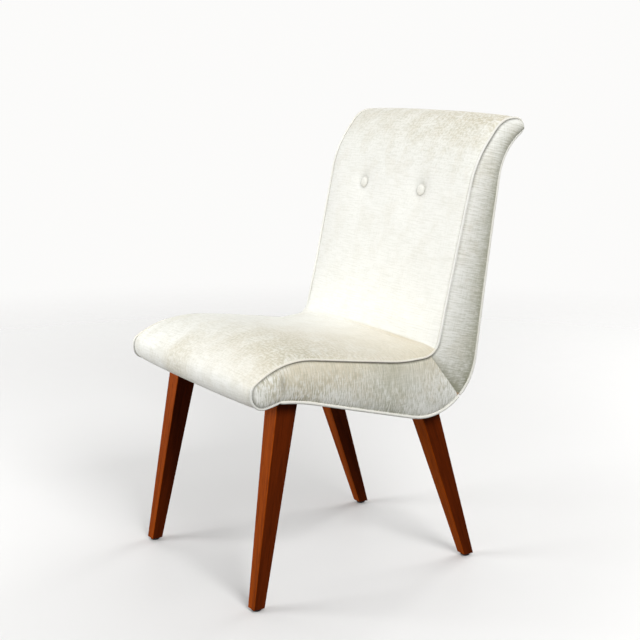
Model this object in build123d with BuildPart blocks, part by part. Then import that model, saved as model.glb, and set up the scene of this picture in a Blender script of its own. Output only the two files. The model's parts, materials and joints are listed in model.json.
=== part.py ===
"""Armless button back chair with a rolled top, made the way an upholsterer makes it.

A doweled timber frame carries sinuous springs, webbing and foam under a sewn cover with piped
side seams, and stands on four bolted legs. Millimetres: x runs across, with the right side
positive as seen from the front, y from front to back, and z up from the floor.
"""

import os
from math import asin, ceil, cos, degrees, radians, sin, tan

from build123d import *

os.makedirs("parts", exist_ok=True)

# Side outline of the upholstery at the side seams, as corners of straight runs: the front side
seat_height = 437.5  # corner above the seat's crest
nose_y = -278.5  # foremost line of the seat
crest_setback = 67.5
crest_rise = 39.7
nose_height = 46.0
nose_droop = 14.5
lip_setback = 56.0
seat_run = 237.5
seat_fall = 33.5
crook_run = 73.3
crook_rise = 2.6
back_rise = 340.6
back_rake = 12.65
scroll_rise = 72.6
scroll_rake = 38.0
top_run = 48.0
tip_drop = 20.3

# Side outline: the rear and the underside
under_scroll_run = 60.3
under_scroll_slope = 38.7
heel_setback = 70.8
heel_drop = 136.4
break_setback = 37.4
break_fall = 3.4

# Rounding of the outline's corners
lip_radius = 12.0
nose_low_radius = 23.0
nose_high_radius = 16.0
crest_radius = 160.0
dip_radius = 300.0
crook_radius = 34.0
bend_radius = 190.0
scroll_radius = 50.0
tip_high_radius = 17.0
tip_low_radius = 6.0
under_scroll_radius = 110.0
heel_radius = 110.0
break_radius = 350.0
run_fill = 0.96  # most of a straight run that the rounding at its ends may take

# Width, and the crown of the padding half way between the side seams
half_width = 227.0
nose_crown = 5.0
crest_crown = 12.0
seat_crown = 18.0
crook_crown = 14.0
back_crown = 12.0
scroll_crown = 9.0
top_crown = 7.0
tip_crown = 1.0
crown_power = 2.5
crown_stations = (-1.0, -0.75, -0.4, 0.0, 0.4, 0.75, 1.0)  # shares of the half width

# Cloth, seams and clearances
cover_thickness = 2.0
lining_thickness = 1.2
panel_core = 3.0
panel_bulge = 3.5
panel_edge_radius = 3.3
piping_diameter = 5.0
soft_gap = 0.3
seam_gap = 0.2
fit_gap = 0.1
mitre_slope = 51.3
mitre_lead = 14.0  # the mitre seam leaves the cover this far in front of the crook's corner
mitre_lift = 3.4

# Timber frame and padding depths
seat_padding_front = 36.0
seat_padding_rear = 38.0
back_padding = 24.0
side_thickness = 24.0
lap_length = 50.0
rail_lift = 6.0
front_rail_lead = 18.0
front_rail_depth = 38.0
rear_rail_depth = 28.0
rear_rail_rise = 36.0
lower_rail_thickness = 24.0
lower_rail_height = 45.0
lower_rail_rise = 70.0
lower_rail_setback = 26.0
top_rail_thickness = 18.0
top_rail_width = 32.0
top_rail_margin = 6.0
dowel_diameter = 8.0
dowel_length = 40.0
dowel_pitch = 20.0
rear_dowel_drop = 23.0  # from the rear rail's top to the middle of its dowels
lap_dowel_pitch = 30.0
lap_reach = 78.0  # along the mitre from its upper end to the lap's middle

# Legs and their fixings
leg_top_size = 41.0
leg_foot_size = 22.0
leg_edge_radius = 2.0
front_leg_inset = 42.8
front_leg_setback = 31.2
front_leg_rake = 10.19
front_leg_splay = 3.2
front_leg_rise = 3.4  # leg top above the underside's front break
rear_leg_inset = 53.4
rear_leg_setback = 67.6
rear_leg_rake = -18.62
rear_leg_splay = 1.23
rear_leg_rise = 47.8  # leg top above the heel's corner
block_length = 64.0
block_width = 52.0
bolt_diameter = 8.0
bolt_in_leg = 45.0
insert_diameter = 12.0
insert_length = 18.0
insert_setback = 3.0
screw_diameter = 4.0
screw_head_diameter = 8.0
screw_head_height = 3.0
screw_in_block = 25.0
screw_in_rail = 18.0
screw_rise = 14.0
screw_steps = (22.0, 36.0)
glide_diameter = 17.0
glide_height = 5.0
glide_edge = 1.5
glide_nail_diameter = 3.0
glide_nail_length = 16.0

# Seat springs, hessian and back webbing
spring_wire = 3.6
spring_width = 50.0
spring_spacing = 72.0
spring_count = 4
spring_pitch = 24.0
spring_drop = 11.0
clip_width = 16.0
clip_gauge = 1.2
clip_reach = 5.0
clip_tail = 3.0
hessian_thickness = 1.0
hessian_margin = 4.0
strap_thickness = 2.0
strap_width = 46.0
strap_rises = (125.0, 205.0, 285.0)

# Buttons and their ties
button_rise = 285.0
button_spacing = 188.0
button_diameter = 22.0
button_side = 2.5
button_dome = 4.5
tuft_radius = 32.0
tuft_seat_radius = 12.0
tuft_depth = 9.0
tuft_overlap = 0.5
twine_diameter = 2.0
twine_in_button = 3.5
toggle_diameter = 8.0
toggle_length = 30.0


def above(point, angle, rise):
    """Point reached from another by rising along a line raked back from the vertical."""
    return point + Vector(rise * tan(radians(angle)), rise)


# Corners of the side outline, as points of y and z, clockwise from the lip under the nose
crest = Vector(nose_y + crest_setback, seat_height)
nose_high = Vector(nose_y, crest.Y - crest_rise)
nose_low = Vector(nose_y, nose_high.Y - nose_height)
lip = Vector(nose_y + lip_setback, nose_low.Y + nose_droop)
dip = crest + Vector(seat_run, -seat_fall)
crook = dip + Vector(crook_run, crook_rise)
bend = above(crook, back_rake, back_rise)
scroll = above(bend, scroll_rake, scroll_rise)
tip_high = scroll + Vector(top_run, 0)
tip_low = tip_high - Vector(0, tip_drop)
under_scroll_way = Vector(-cos(radians(under_scroll_slope)), -sin(radians(under_scroll_slope)))
under_scroll = tip_low + under_scroll_way * under_scroll_run
heel = crook + Vector(heel_setback, -heel_drop)
under_break = lip + Vector(break_setback, -break_fall)

front_corners = [lip, nose_low, nose_high, crest, dip, crook, bend, scroll, tip_high, tip_low]
front_radii = [
    nose_low_radius, nose_high_radius, crest_radius, dip_radius,
    crook_radius, bend_radius, scroll_radius, tip_high_radius,
]
front_crowns = [
    0, nose_crown, crest_crown, seat_crown, crook_crown,
    back_crown, scroll_crown, top_crown, tip_crown,
]
rear_corners = [tip_low, under_scroll, heel, under_break, lip]
rear_radii = [under_scroll_radius, heel_radius, break_radius]
body_corners = front_corners + rear_corners[1:-1]
body_radii = [lip_radius, *front_radii, tip_low_radius, *rear_radii]

cloth_inset = cover_thickness + soft_gap
side_outer = half_width - panel_core - soft_gap
side_inner = side_outer - side_thickness


def moved(points, shifts):
    """Corners of an open outline after each of its runs moves to its left by its own distance."""
    runs = [(b - a).normalized() for a, b in zip(points, points[1:])]
    lefts = [Vector(-run.Y, run.X) for run in runs]
    result = [points[0] + lefts[0] * shifts[0]]
    for i in range(1, len(runs)):
        before = lefts[i - 1]
        after = lefts[i]
        spread = before.X * after.Y - before.Y * after.X
        across = (shifts[i - 1] * after.Y - shifts[i] * before.Y) / spread
        along = (shifts[i] * before.X - shifts[i - 1] * after.X) / spread
        result.append(points[i] + Vector(across, along))
    result.append(points[-1] + lefts[-1] * shifts[-1])
    return result


def rounding(points, radii, shifts):
    """Radii of a moved open outline's inner corners, concentric with the unmoved ones.

    Moving left opens a right turn and closes a left turn, and no two neighbouring roundings
    take more than run_fill of the run between them.
    """
    runs = [b - a for a, b in zip(points, points[1:])]
    turns = [radians(b.get_signed_angle(a)) for a, b in zip(runs, runs[1:])]
    result = [0.0]
    for radius, turn, before, after in zip(radii, turns, shifts, shifts[1:]):
        change = (before + after) / 2
        result.append(radius - change if turn > 0 else radius + change)
    result.append(0.0)
    reaches = [0.0, *[tan(abs(turn) / 2) for turn in turns], 0.0]
    for i, run in enumerate(runs):
        taken = result[i] * reaches[i] + result[i + 1] * reaches[i + 1]
        share = min(1.0, run_fill * run.length / taken) if taken else 1.0
        result[i] *= share
        result[i + 1] *= share
    return result[1:-1]


def rounded_line(points, radii, shifts):
    """Open outline of straight runs and tangent arcs, with each run moved to its left."""
    corners = moved(points, shifts)
    places = [(corner.X, corner.Y) for corner in corners]
    return FilletPolyline(*places, radius=rounding(corners, radii, shifts))


def body_outline(inset):
    """Closed side outline of the whole upholstery, drawn inside its true line."""
    loop = [body_corners[-1], *body_corners, body_corners[0]]
    shifts = [-inset] * (len(loop) - 1)
    corners = moved(loop, shifts)
    radii = rounding(corners, body_radii, shifts)
    FilletPolyline(*corners[1:-1], radius=radii, close=True)


stations = [share * half_width for share in crown_stations]


def crown_share(x):
    """Part of the full crown that the padding has at x."""
    return 1 - (abs(x) / half_width) ** crown_power


def crowned(x, inset):
    """Moves of the front outline's runs at x, less an inset."""
    return [crown * crown_share(x) - inset for crown in front_crowns]


def line_height(a, b, y):
    """Height at y of the straight line through two points."""
    return a.Y + (b.Y - a.Y) * (y - a.X) / (b.X - a.X)


# Planes of the mitre seam at the crook and of the back's flat run
mitre_point = crook + Vector(-mitre_lead, mitre_lift)
mitre_normal = Vector(0, sin(radians(mitre_slope)), cos(radians(mitre_slope)))
mitre = Plane(origin=(0, mitre_point.X, mitre_point.Y), x_dir=(1, 0, 0), z_dir=mitre_normal)
back_way = Vector(0, sin(radians(back_rake)), cos(radians(back_rake)))
back_plane = Plane(
    origin=(0, crook.X, crook.Y),
    x_dir=(1, 0, 0),
    z_dir=(0, -back_way.Z, back_way.Y),
)

# Side outline of the timber frame: seat line, back line, scroll line and the top rail's tip
seat_line_front = crest - Vector(0, seat_padding_front)
seat_line_rear = crook - Vector(0, seat_padding_rear)
rail_front_y = lip.X - front_rail_lead
rail_low = lip.Y + rail_lift
rail_corner = Vector(rail_front_y, line_height(seat_line_front, seat_line_rear, rail_front_y))
under_scroll_in = Vector(under_scroll_way.Y, -under_scroll_way.X)
rail_tip_low = tip_low + under_scroll_way * top_rail_margin + under_scroll_in * cloth_inset
rail_tip_high = rail_tip_low + under_scroll_in * top_rail_thickness
back_line = moved([crook, bend], [-back_padding])


def meeting(a, b, c, d):
    """Point where the line through a and b meets the line through c and d."""
    first = b - a
    second = d - c
    gap = c - a
    along = (gap.X * second.Y - gap.Y * second.X) / (first.X * second.Y - first.Y * second.X)
    return a + first * along


frame_crook = meeting(seat_line_front, seat_line_rear, *back_line)
frame_bend = meeting(rail_tip_high, rail_tip_high + under_scroll_way, *back_line)
frame_front = [
    Vector(lip.X, rail_low),
    Vector(rail_front_y, rail_low),
    rail_corner,
    frame_crook,
    frame_bend,
    rail_tip_high,
    rail_tip_low,
]
frame_rear = [tip_low + under_scroll_way * top_rail_margin, *rear_corners[1:]]
frame_rear_shifts = [-cloth_inset] * (len(frame_rear) - 1)


def frame_outline():
    """Face of the whole side frame, drawn in the current sketch."""
    with BuildLine() as edge:
        Polyline(*frame_front)
        rear = rounded_line(frame_rear, rear_radii, frame_rear_shifts)
        Line(rear @ 1, frame_front[0])
    make_face(edge.edges())


def keep_past(point, way):
    """Keep the part of the current sketch that lies past a point in a direction."""
    split(bisect_by=Plane(origin=(point.X, point.Y, 0), z_dir=(way.X, way.Y, 0)))


top_rail_low = rail_tip_low + under_scroll_way * top_rail_width
mitre_way = Vector(mitre_normal.Y, mitre_normal.Z)
lap_front = mitre_point - mitre_way * (lap_length / 2)
lap_rear = mitre_point + mitre_way * (lap_length / 2)
front_rail_back = rail_front_y + front_rail_depth
rear_rail_front = frame_crook.X
to_front = Vector(-1, 0)
to_back = Vector(1, 0)
upward = Vector(0, 1)
downward = Vector(0, -1)

# Legs: top centres under the corner blocks, and the way down to each foot
front_leg_top = Vector(
    half_width - front_leg_inset,
    lip.X + front_leg_setback,
    under_break.Y + front_leg_rise,
)
rear_leg_top = Vector(
    half_width - rear_leg_inset,
    heel.X - rear_leg_setback,
    heel.Y + rear_leg_rise,
)
front_leg_way = Vector(tan(radians(front_leg_splay)), -tan(radians(front_leg_rake)), -1)
rear_leg_way = Vector(tan(radians(rear_leg_splay)), -tan(radians(rear_leg_rake)), -1)
legs = {"front": (front_leg_top, front_leg_way), "rear": (rear_leg_top, rear_leg_way)}


def rod(start, way, first, last, diameter, mode=Mode.ADD):
    """Round bar along a direction, between two distances from a start point."""
    unit = way.normalized()
    with BuildSketch(Plane(origin=start + unit * first, z_dir=unit)) as section:
        Circle(diameter / 2)
    extrude(section.sketch, amount=last - first, mode=mode)


def foot_of(top, way):
    """Centre of a leg's lower end, over its glide."""
    return top + way * (top.Z - glide_height)


def leg_bar(top, way, room=0.0, mode=Mode.ADD):
    """Square tapered leg between its two level end faces, with room around it for a cut."""
    foot = foot_of(top, way)
    ends = []
    for centre, size in ((foot, leg_foot_size), (top, leg_top_size)):
        with BuildSketch(Plane.XY.offset(centre.Z)) as end_face:
            with Locations((centre.X, centre.Y)):
                Rectangle(size + 2 * room, size + 2 * room)
        ends.append(end_face.sketch)
    loft(ends, ruled=True, mode=mode)


def notch_for_legs(room=0.0):
    """Cut both legs of the right side out of the part being made."""
    for top, way in legs.values():
        leg_bar(top, way, room, Mode.SUBTRACT)


# Legs on the right
right_legs = {}
for end, (top, way) in legs.items():
    with BuildPart() as right_leg:
        leg_bar(top, way)
        fillet(right_leg.edges().sort_by(SortBy.LENGTH)[-4:], radius=leg_edge_radius)
        bolt_bore = bolt_diameter + 2 * fit_gap
        rod(top, way, -bolt_diameter, bolt_in_leg + fit_gap, bolt_bore, Mode.SUBTRACT)
        nail_bore = glide_nail_diameter + 2 * fit_gap
        nail_depth = glide_nail_length + fit_gap
        rod(foot_of(top, way), Vector(0, 0, 1), 0, nail_depth, nail_bore, Mode.SUBTRACT)
    right_legs[end] = right_leg

with BuildPart() as leg_glides:
    for top, way in legs.values():
        foot = foot_of(top, way)
        with BuildSketch(Plane(origin=(foot.X, foot.Y, 0), x_dir=(1, 0, 0), z_dir=(0, -1, 0))):
            with BuildLine():
                Polyline(
                    (0, 0),
                    (glide_diameter / 2 - glide_edge, 0),
                    (glide_diameter / 2, glide_edge),
                    (glide_diameter / 2, glide_height),
                    (glide_nail_diameter / 2, glide_height),
                    (glide_nail_diameter / 2, glide_height + glide_nail_length),
                    (0, glide_height + glide_nail_length),
                    close=True,
                )
            make_face()
        revolve(axis=Axis((foot.X, foot.Y, 0), (0, 0, 1)))
    mirror(about=Plane.YZ)

# Hanger bolts along the legs' axes, and the threaded inserts that take them in the blocks
insert_end = insert_setback + insert_length
with BuildPart() as leg_bolts:
    for top, way in legs.values():
        rod(top, way, -insert_end, bolt_in_leg, bolt_diameter)
    mirror(about=Plane.YZ)

with BuildPart() as leg_inserts:
    for top, way in legs.values():
        rod(top, way, -insert_end, -insert_setback, insert_diameter)
        bolt_bore = bolt_diameter + 2 * fit_gap
        rod(top, way, -insert_end, -insert_setback, bolt_bore, Mode.SUBTRACT)
    mirror(about=Plane.YZ)

# Screws that hold each corner block to its side rail, stepping away from the leg's bolt
screw_spots = {
    "front": [front_leg_top + Vector(0, step, screw_rise) for step in screw_steps],
    "rear": [rear_leg_top + Vector(0, -step, screw_rise) for step in screw_steps],
}
across = Vector(1, 0, 0)


def side_point(spot):
    """Point level with a spot on the side rail's inner face."""
    return Vector(side_inner, spot.Y, spot.Z)


with BuildPart() as block_screws:
    for spots in screw_spots.values():
        for spot in spots:
            face = side_point(spot)
            rod(face, across, -screw_in_block, screw_in_rail, screw_diameter)
            head_end = screw_head_height - screw_in_block
            rod(face, across, -screw_in_block, head_end, screw_head_diameter)
    mirror(about=Plane.YZ)


def cut_screws(end):
    """Bore the clearance holes of one corner's block screws."""
    for spot in screw_spots[end]:
        face = side_point(spot)
        bore = screw_diameter + 2 * fit_gap
        rod(face, across, -block_width, screw_in_rail + fit_gap, bore, Mode.SUBTRACT)
        head_bore = screw_head_diameter + 2 * fit_gap
        head_end = screw_head_height - screw_in_block
        rod(face, across, -block_width, head_end + fit_gap, head_bore, Mode.SUBTRACT)


# Corner blocks on the right, over the legs
block_spans = {
    "front": (front_rail_back, front_rail_back + block_length),
    "rear": (rear_rail_front - block_length, rear_rail_front),
}
right_blocks = {}
for end, (top, way) in legs.items():
    near, far = block_spans[end]
    with BuildPart() as corner_block:
        with BuildSketch(Plane.YZ.offset(side_inner - block_width)):
            frame_outline()
            keep_past(Vector(near, 0), to_back)
            keep_past(Vector(far, 0), to_front)
            keep_past(Vector(0, top.Z), upward)
        extrude(amount=block_width)
        bolt_bore = bolt_diameter + 2 * fit_gap
        rod(top, way, -insert_end, bolt_diameter, bolt_bore, Mode.SUBTRACT)
        insert_bore = insert_diameter + 2 * fit_gap
        rod(top, way, -insert_end - fit_gap, fit_gap - insert_setback, insert_bore, Mode.SUBTRACT)
        cut_screws(end)
    right_blocks[end] = corner_block

# Dowels of the cross rails, as spots of y and z on the side members' inner faces
front_dowel_y = (rail_front_y + front_rail_back) / 2
front_dowel_top = line_height(seat_line_front, seat_line_rear, front_dowel_y)
front_dowel = Vector(0, front_dowel_y, (rail_low + front_dowel_top) / 2)
rear_rail_top = frame_crook.Y + rear_rail_rise
rear_dowel = Vector(0, rear_rail_front + rear_rail_depth / 2, rear_rail_top - rear_dowel_drop)
lower_rail_depth = back_padding + lower_rail_setback + lower_rail_thickness / 2
lower_dowel = back_plane.from_local_coords((0, lower_rail_rise, -lower_rail_depth))
rail_dowels = {
    "front": (front_dowel, Vector(0, 1, 0)),
    "rear": (rear_dowel, Vector(0, 0, 1)),
    "lower": (lower_dowel, back_way),
}

# Dowels through the lap of each side, and those that tie the top rail to the posts
lap_way = Vector(0, mitre_normal.Z, -mitre_normal.Y)
lap_centre = Vector(0, mitre_point.X, mitre_point.Y) + lap_way * lap_reach
top_joint = top_rail_low + under_scroll_in * (top_rail_thickness / 2)
top_dowel = Vector(side_outer - side_thickness / 2, top_joint.X, top_joint.Y)
top_way = Vector(0, under_scroll_way.X, under_scroll_way.Y)
half_dowel = dowel_length / 2
dowel_bore = dowel_diameter + 2 * fit_gap


def pair_about(centre, way, pitch):
    """Two spots on the right side member's inner face, either side of a centre."""
    return [side_point(centre + way * (side * pitch / 2)) for side in (-1, 1)]


def cut_rail_dowels(name):
    """Bore one cross rail's dowel holes, in the rail and in the right side member."""
    centre, way = rail_dowels[name]
    for spot in pair_about(centre, way, dowel_pitch):
        reach = half_dowel + fit_gap
        rod(spot, across, -reach, reach, dowel_bore, Mode.SUBTRACT)


def cut_side_dowels():
    """Bore every dowel hole of the right side's members."""
    for name in rail_dowels:
        cut_rail_dowels(name)
    for spot in pair_about(lap_centre, mitre_normal, lap_dowel_pitch):
        rod(spot, across, 0, side_thickness, dowel_bore, Mode.SUBTRACT)
    rod(top_dowel, top_way, 0, half_dowel + fit_gap, dowel_bore, Mode.SUBTRACT)


with BuildPart() as frame_dowels:
    for centre, way in rail_dowels.values():
        for spot in pair_about(centre, way, dowel_pitch):
            rod(spot, across, -half_dowel, half_dowel, dowel_diameter)
    for spot in pair_about(lap_centre, mitre_normal, lap_dowel_pitch):
        rod(spot, across, 0, side_thickness, dowel_diameter)
    rod(top_dowel, top_way, -half_dowel, half_dowel, dowel_diameter)
    mirror(about=Plane.YZ)

# Side members of the frame, half lapped at the heel: inner leaf, then outer leaf
half_side = side_thickness / 2
lap_leaves = ((side_inner, lap_rear), (side_inner + half_side, lap_front))
with BuildPart() as right_seat_rail:
    for x, lap_edge in lap_leaves:
        with BuildSketch(Plane.YZ.offset(x)):
            frame_outline()
            keep_past(lap_edge, -mitre_way)
        extrude(amount=half_side)
    cut_side_dowels()
    cut_screws("front")
    cut_screws("rear")
    notch_for_legs()

with BuildPart() as right_back_post:
    for x, lap_edge in lap_leaves:
        with BuildSketch(Plane.YZ.offset(x)):
            frame_outline()
            keep_past(lap_edge, mitre_way)
            keep_past(top_rail_low, under_scroll_way)
        extrude(amount=half_side)
    cut_side_dowels()

# Cross rails
with BuildPart() as front_rail:
    with BuildSketch(Plane.YZ):
        frame_outline()
        keep_past(Vector(front_rail_back, 0), to_front)
    extrude(amount=side_inner)
    cut_rail_dowels("front")
    notch_for_legs()
    mirror(about=Plane.YZ)

with BuildPart() as rear_rail:
    with BuildSketch(Plane.YZ):
        frame_outline()
        keep_past(Vector(rear_rail_front, 0), to_back)
        keep_past(Vector(rear_rail_front + rear_rail_depth, 0), to_front)
        keep_past(Vector(0, rear_rail_top), downward)
    extrude(amount=side_inner)
    cut_rail_dowels("rear")
    notch_for_legs()
    mirror(about=Plane.YZ)

with BuildPart() as lower_back_rail:
    with BuildSketch(Plane(origin=lower_dowel, x_dir=back_way, z_dir=across)):
        Rectangle(lower_rail_height, lower_rail_thickness)
    extrude(amount=side_inner)
    cut_rail_dowels("lower")
    mirror(about=Plane.YZ)

with BuildPart() as top_rail:
    with BuildSketch(Plane.YZ):
        frame_outline()
        keep_past(top_rail_low, -under_scroll_way)
    extrude(amount=side_outer)
    rod(top_dowel, top_way, -half_dowel - fit_gap, 0, dowel_bore, Mode.SUBTRACT)
    mirror(about=Plane.YZ)

# Sinuous springs between the front and rear rails, in clips on the rails' facing sides
clip_seat = clip_gauge + seam_gap + spring_wire / 2
spring_front_y = front_rail_back + clip_seat
spring_rear_y = rear_rail_front - clip_seat


def spring_point(y):
    """Centre of the spring wire's cross run at y, under the seat line."""
    return Vector(0, y, line_height(seat_line_front, seat_line_rear, y) - spring_drop)


spring_start = spring_point(spring_front_y)
spring_span = spring_point(spring_rear_y) - spring_start
spring_runs = ceil(spring_span.length / spring_pitch)
spring_step = spring_span.length / spring_runs
spring_plane = Plane(
    origin=spring_start,
    x_dir=(1, 0, 0),
    z_dir=(0, -spring_span.Z, spring_span.Y),
)
spring_places = [(i - (spring_count - 1) / 2) * spring_spacing for i in range(spring_count)]


def spring_route(x):
    """Corners of one spring's zigzag: cross runs in turn to the right and to the left."""
    route = []
    for i in range(spring_runs + 1):
        side = spring_width / 2 if i % 2 else -spring_width / 2
        route += [(x + side, i * spring_step), (x - side, i * spring_step)]
    return route


with BuildPart() as seat_springs:
    for x in spring_places:
        with BuildLine(spring_plane) as spring_line:
            FilletPolyline(*spring_route(x), radius=spring_step / 2 - spring_wire / 4)
        route = spring_line.wire()
        with BuildSketch(Plane(origin=route @ 0, z_dir=route % 0)) as section:
            Circle(spring_wire / 2)
        sweep(section.sketch, path=route)


def clip_outline(face_y, height, way):
    """Hooked strip on a rail's face, open towards the spring."""
    grip = spring_wire / 2 + seam_gap + clip_gauge
    reach = clip_gauge + clip_reach
    hook = [
        (0, -grip - clip_tail), (0, grip), (reach, grip), (reach, grip - clip_gauge),
        (clip_gauge, grip - clip_gauge), (clip_gauge, clip_gauge - grip),
        (reach, clip_gauge - grip), (reach, -grip), (clip_gauge, -grip),
        (clip_gauge, -grip - clip_tail),
    ]
    with BuildLine() as edge:
        Polyline(*[(face_y + way * out, height + up) for out, up in hook], close=True)
    make_face(edge.edges())


with BuildPart() as spring_clips:
    for x in spring_places:
        with BuildSketch(Plane.YZ.offset(x - clip_width / 2)):
            clip_outline(front_rail_back, spring_point(spring_front_y).Z, 1)
            clip_outline(rear_rail_front, spring_point(spring_rear_y).Z, -1)
        extrude(amount=clip_width)

# Hessian over the springs, and straps across the back posts
seat_way = (seat_line_rear - seat_line_front).normalized()
hessian_ends = [rail_corner, frame_crook - seat_way * hessian_margin]
with BuildPart() as seat_hessian:
    with BuildSketch(Plane.YZ.offset(-side_outer)):
        with BuildLine():
            under = moved(hessian_ends, [soft_gap])
            over = moved(hessian_ends, [soft_gap + hessian_thickness])
            Polyline(*under, *reversed(over), close=True)
        make_face()
    extrude(amount=2 * side_outer)


# Tufts: the place and the outward direction of each button on the crowned back
def tuft_frame(side):
    """Plane through a button's axis, with its x along the back and its y out of the cover."""
    x = side * button_spacing / 2
    height = back_crown * crown_share(x)
    slope = -side * back_crown * crown_power * abs(x) ** (crown_power - 1) / half_width**crown_power
    outward = (back_plane.z_dir - back_plane.x_dir * slope).normalized()
    origin = back_plane.from_local_coords((x, button_rise, height))
    return Plane(origin=origin, x_dir=back_way, z_dir=back_way.cross(outward))


tuft_frames = [tuft_frame(-1), tuft_frame(1)]
tuft_reach = tuft_radius - tuft_seat_radius
tuft_bend = (tuft_reach**2 + tuft_depth**2) / (2 * tuft_depth)
tuft_angle = degrees(asin(tuft_reach / tuft_bend))
twine_bore = twine_diameter + 2 * fit_gap


def tuft_axis(frame):
    """Axis of a button, out of the cover."""
    return Axis(frame.origin, frame.y_dir)


def tuft_curve(depth):
    """Arc of the tuft's funnel at a depth under the cover's face, from its rim inwards."""
    return JernArc((tuft_radius, -depth), (-1, 0), tuft_bend - depth, tuft_angle)


def tuft_rod(frame, low, high, diameter, mode=Mode.ADD):
    """Round bar on a button's axis between two heights over the cover's face."""
    rod(frame.origin, frame.y_dir, low, high, diameter, mode)


# Inside cover in one run from under the nose, over the seat and the back, to the scroll's tip
with BuildPart() as seat_and_back_cover:
    for x in stations:
        with BuildSketch(Plane.YZ.offset(x)):
            with BuildLine():
                face = rounded_line(front_corners, front_radii, crowned(x, 0))
                lining = rounded_line(front_corners, front_radii, crowned(x, cover_thickness))
                Line(face @ 0, lining @ 0)
                Line(face @ 1, lining @ 1)
            make_face()
    loft()
    for frame in tuft_frames:
        hole = 2 * (tuft_radius - tuft_overlap)
        tuft_rod(frame, -tuft_depth, tuft_depth, hole, Mode.SUBTRACT)
        with BuildSketch(frame):
            with BuildLine():
                face = tuft_curve(0)
                lining = tuft_curve(cover_thickness)
                Line(face @ 0, lining @ 0)
                Polyline(
                    face @ 1,
                    (twine_bore / 2, -tuft_depth),
                    (twine_bore / 2, -tuft_depth - cover_thickness),
                    lining @ 1,
                )
            make_face()
        revolve(axis=tuft_axis(frame))

# Foam under the cover, cut in two at the mitre
hessian_stack = hessian_thickness + 2 * soft_gap
strap_stack = strap_thickness + soft_gap
foam_seat = moved(
    frame_front,
    [soft_gap, soft_gap, hessian_stack, strap_stack, soft_gap, soft_gap],
)
foam_corners = [*front_corners[:-1], tip_low + upward * cloth_inset]
with BuildPart() as padding:
    for x in stations:
        with BuildSketch(Plane.YZ.offset(x)):
            with BuildLine():
                face = rounded_line(foam_corners, front_radii, crowned(x, cloth_inset))
                Polyline(face @ 0, *foam_seat, face @ 1)
            make_face()
    loft()
    split(bisect_by=Plane.YZ.offset(side_outer), keep=Keep.BOTTOM)
    split(bisect_by=Plane.YZ.offset(-side_outer), keep=Keep.TOP)

with BuildPart() as seat_foam:
    add(padding.part)
    split(bisect_by=mitre.offset(-soft_gap / 2), keep=Keep.BOTTOM)

with BuildPart() as back_foam:
    add(padding.part)
    split(bisect_by=mitre.offset(soft_gap / 2), keep=Keep.TOP)
    for frame in tuft_frames:
        tuft_rod(frame, -2 * lower_rail_depth, 0, twine_bore, Mode.SUBTRACT)
        with BuildSketch(frame):
            with BuildLine():
                recess = tuft_curve(cloth_inset)
                Polyline(
                    recess @ 1,
                    (0, -tuft_depth - cloth_inset),
                    (0, tuft_depth),
                    (tuft_radius, tuft_depth),
                    recess @ 0,
                )
            make_face()
        revolve(axis=tuft_axis(frame), mode=Mode.SUBTRACT)

with BuildPart() as back_webbing:
    for rise in strap_rises:
        with BuildSketch(back_plane.offset(-back_padding)):
            with Locations((0, rise)):
                Rectangle(2 * side_outer, strap_width)
        extrude(amount=strap_thickness)
    for frame in tuft_frames:
        tuft_rod(frame, -2 * lower_rail_depth, 0, twine_bore, Mode.SUBTRACT)

# Buttons in the tufts, with the twine and the toggle that hold each one
button_base = soft_gap - tuft_depth


def toggle_centre(frame):
    """Distance down a button's axis to its toggle, just behind the strap."""
    height = back_plane.to_local_coords(frame.origin).Z
    drop = height + back_padding + soft_gap + toggle_diameter / 2
    return -drop / frame.y_dir.dot(back_plane.z_dir)


buttons = []
for frame in tuft_frames:
    with BuildPart() as button:
        with BuildSketch(frame):
            with BuildLine():
                radius = button_diameter / 2
                shoulder = (radius, button_base + button_side)
                top = (0, button_base + button_side + button_dome)
                Polyline(top, (0, button_base), (radius, button_base), shoulder)
                TangentArc(top, shoulder, tangent=(1, 0))
            make_face()
        revolve(axis=tuft_axis(frame))
        blind = button_base + twine_in_button + fit_gap
        tuft_rod(frame, button_base, blind, twine_bore, Mode.SUBTRACT)
    buttons.append(button)
left_button, right_button = buttons

with BuildPart() as button_twines:
    for frame in tuft_frames:
        low = toggle_centre(frame) - toggle_diameter / 2
        tuft_rod(frame, low, button_base + twine_in_button, twine_diameter)

with BuildPart() as button_toggles:
    for frame in tuft_frames:
        centre = frame.origin + frame.y_dir * toggle_centre(frame)
        rod(centre, across, -toggle_length / 2, toggle_length / 2, toggle_diameter)
        tuft_rod(frame, -2 * lower_rail_depth, 0, twine_bore, Mode.SUBTRACT)

# Side panels, padded a little past the seam and cut in two at the mitre
with BuildPart() as side_panel:
    with BuildSketch(Plane.YZ.offset(half_width - panel_core)):
        with BuildLine():
            body_outline(cloth_inset)
        make_face()
    extrude(amount=panel_core + panel_bulge)
    fillet(side_panel.faces().sort_by(Axis.X)[-1].edges(), radius=panel_edge_radius)

with BuildPart() as right_seat_side_panel:
    add(side_panel.part)
    split(bisect_by=mitre.offset(-seam_gap / 2), keep=Keep.BOTTOM)

with BuildPart() as right_back_side_panel:
    add(side_panel.part)
    split(bisect_by=mitre.offset(seam_gap / 2), keep=Keep.TOP)

# Rear cover and dust cover: flat bands along the rear outline, meeting at the mitre
seam_depth = max(cover_thickness, piping_diameter / 2)


def clear_of(before, corner, after):
    """Point past a corner, where a seam's end clears the seam that ends at the corner."""
    run = (after - corner).normalized()
    turn = radians(run.get_signed_angle(corner - before))
    return corner + run * (soft_gap + seam_depth * sin(abs(turn)))


rear_start = clear_of(tip_high, tip_low, under_scroll)
rear_end = clear_of(nose_low, lip, under_break)
band_corners = [rear_start, *rear_corners[1:-1], rear_end]


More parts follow.
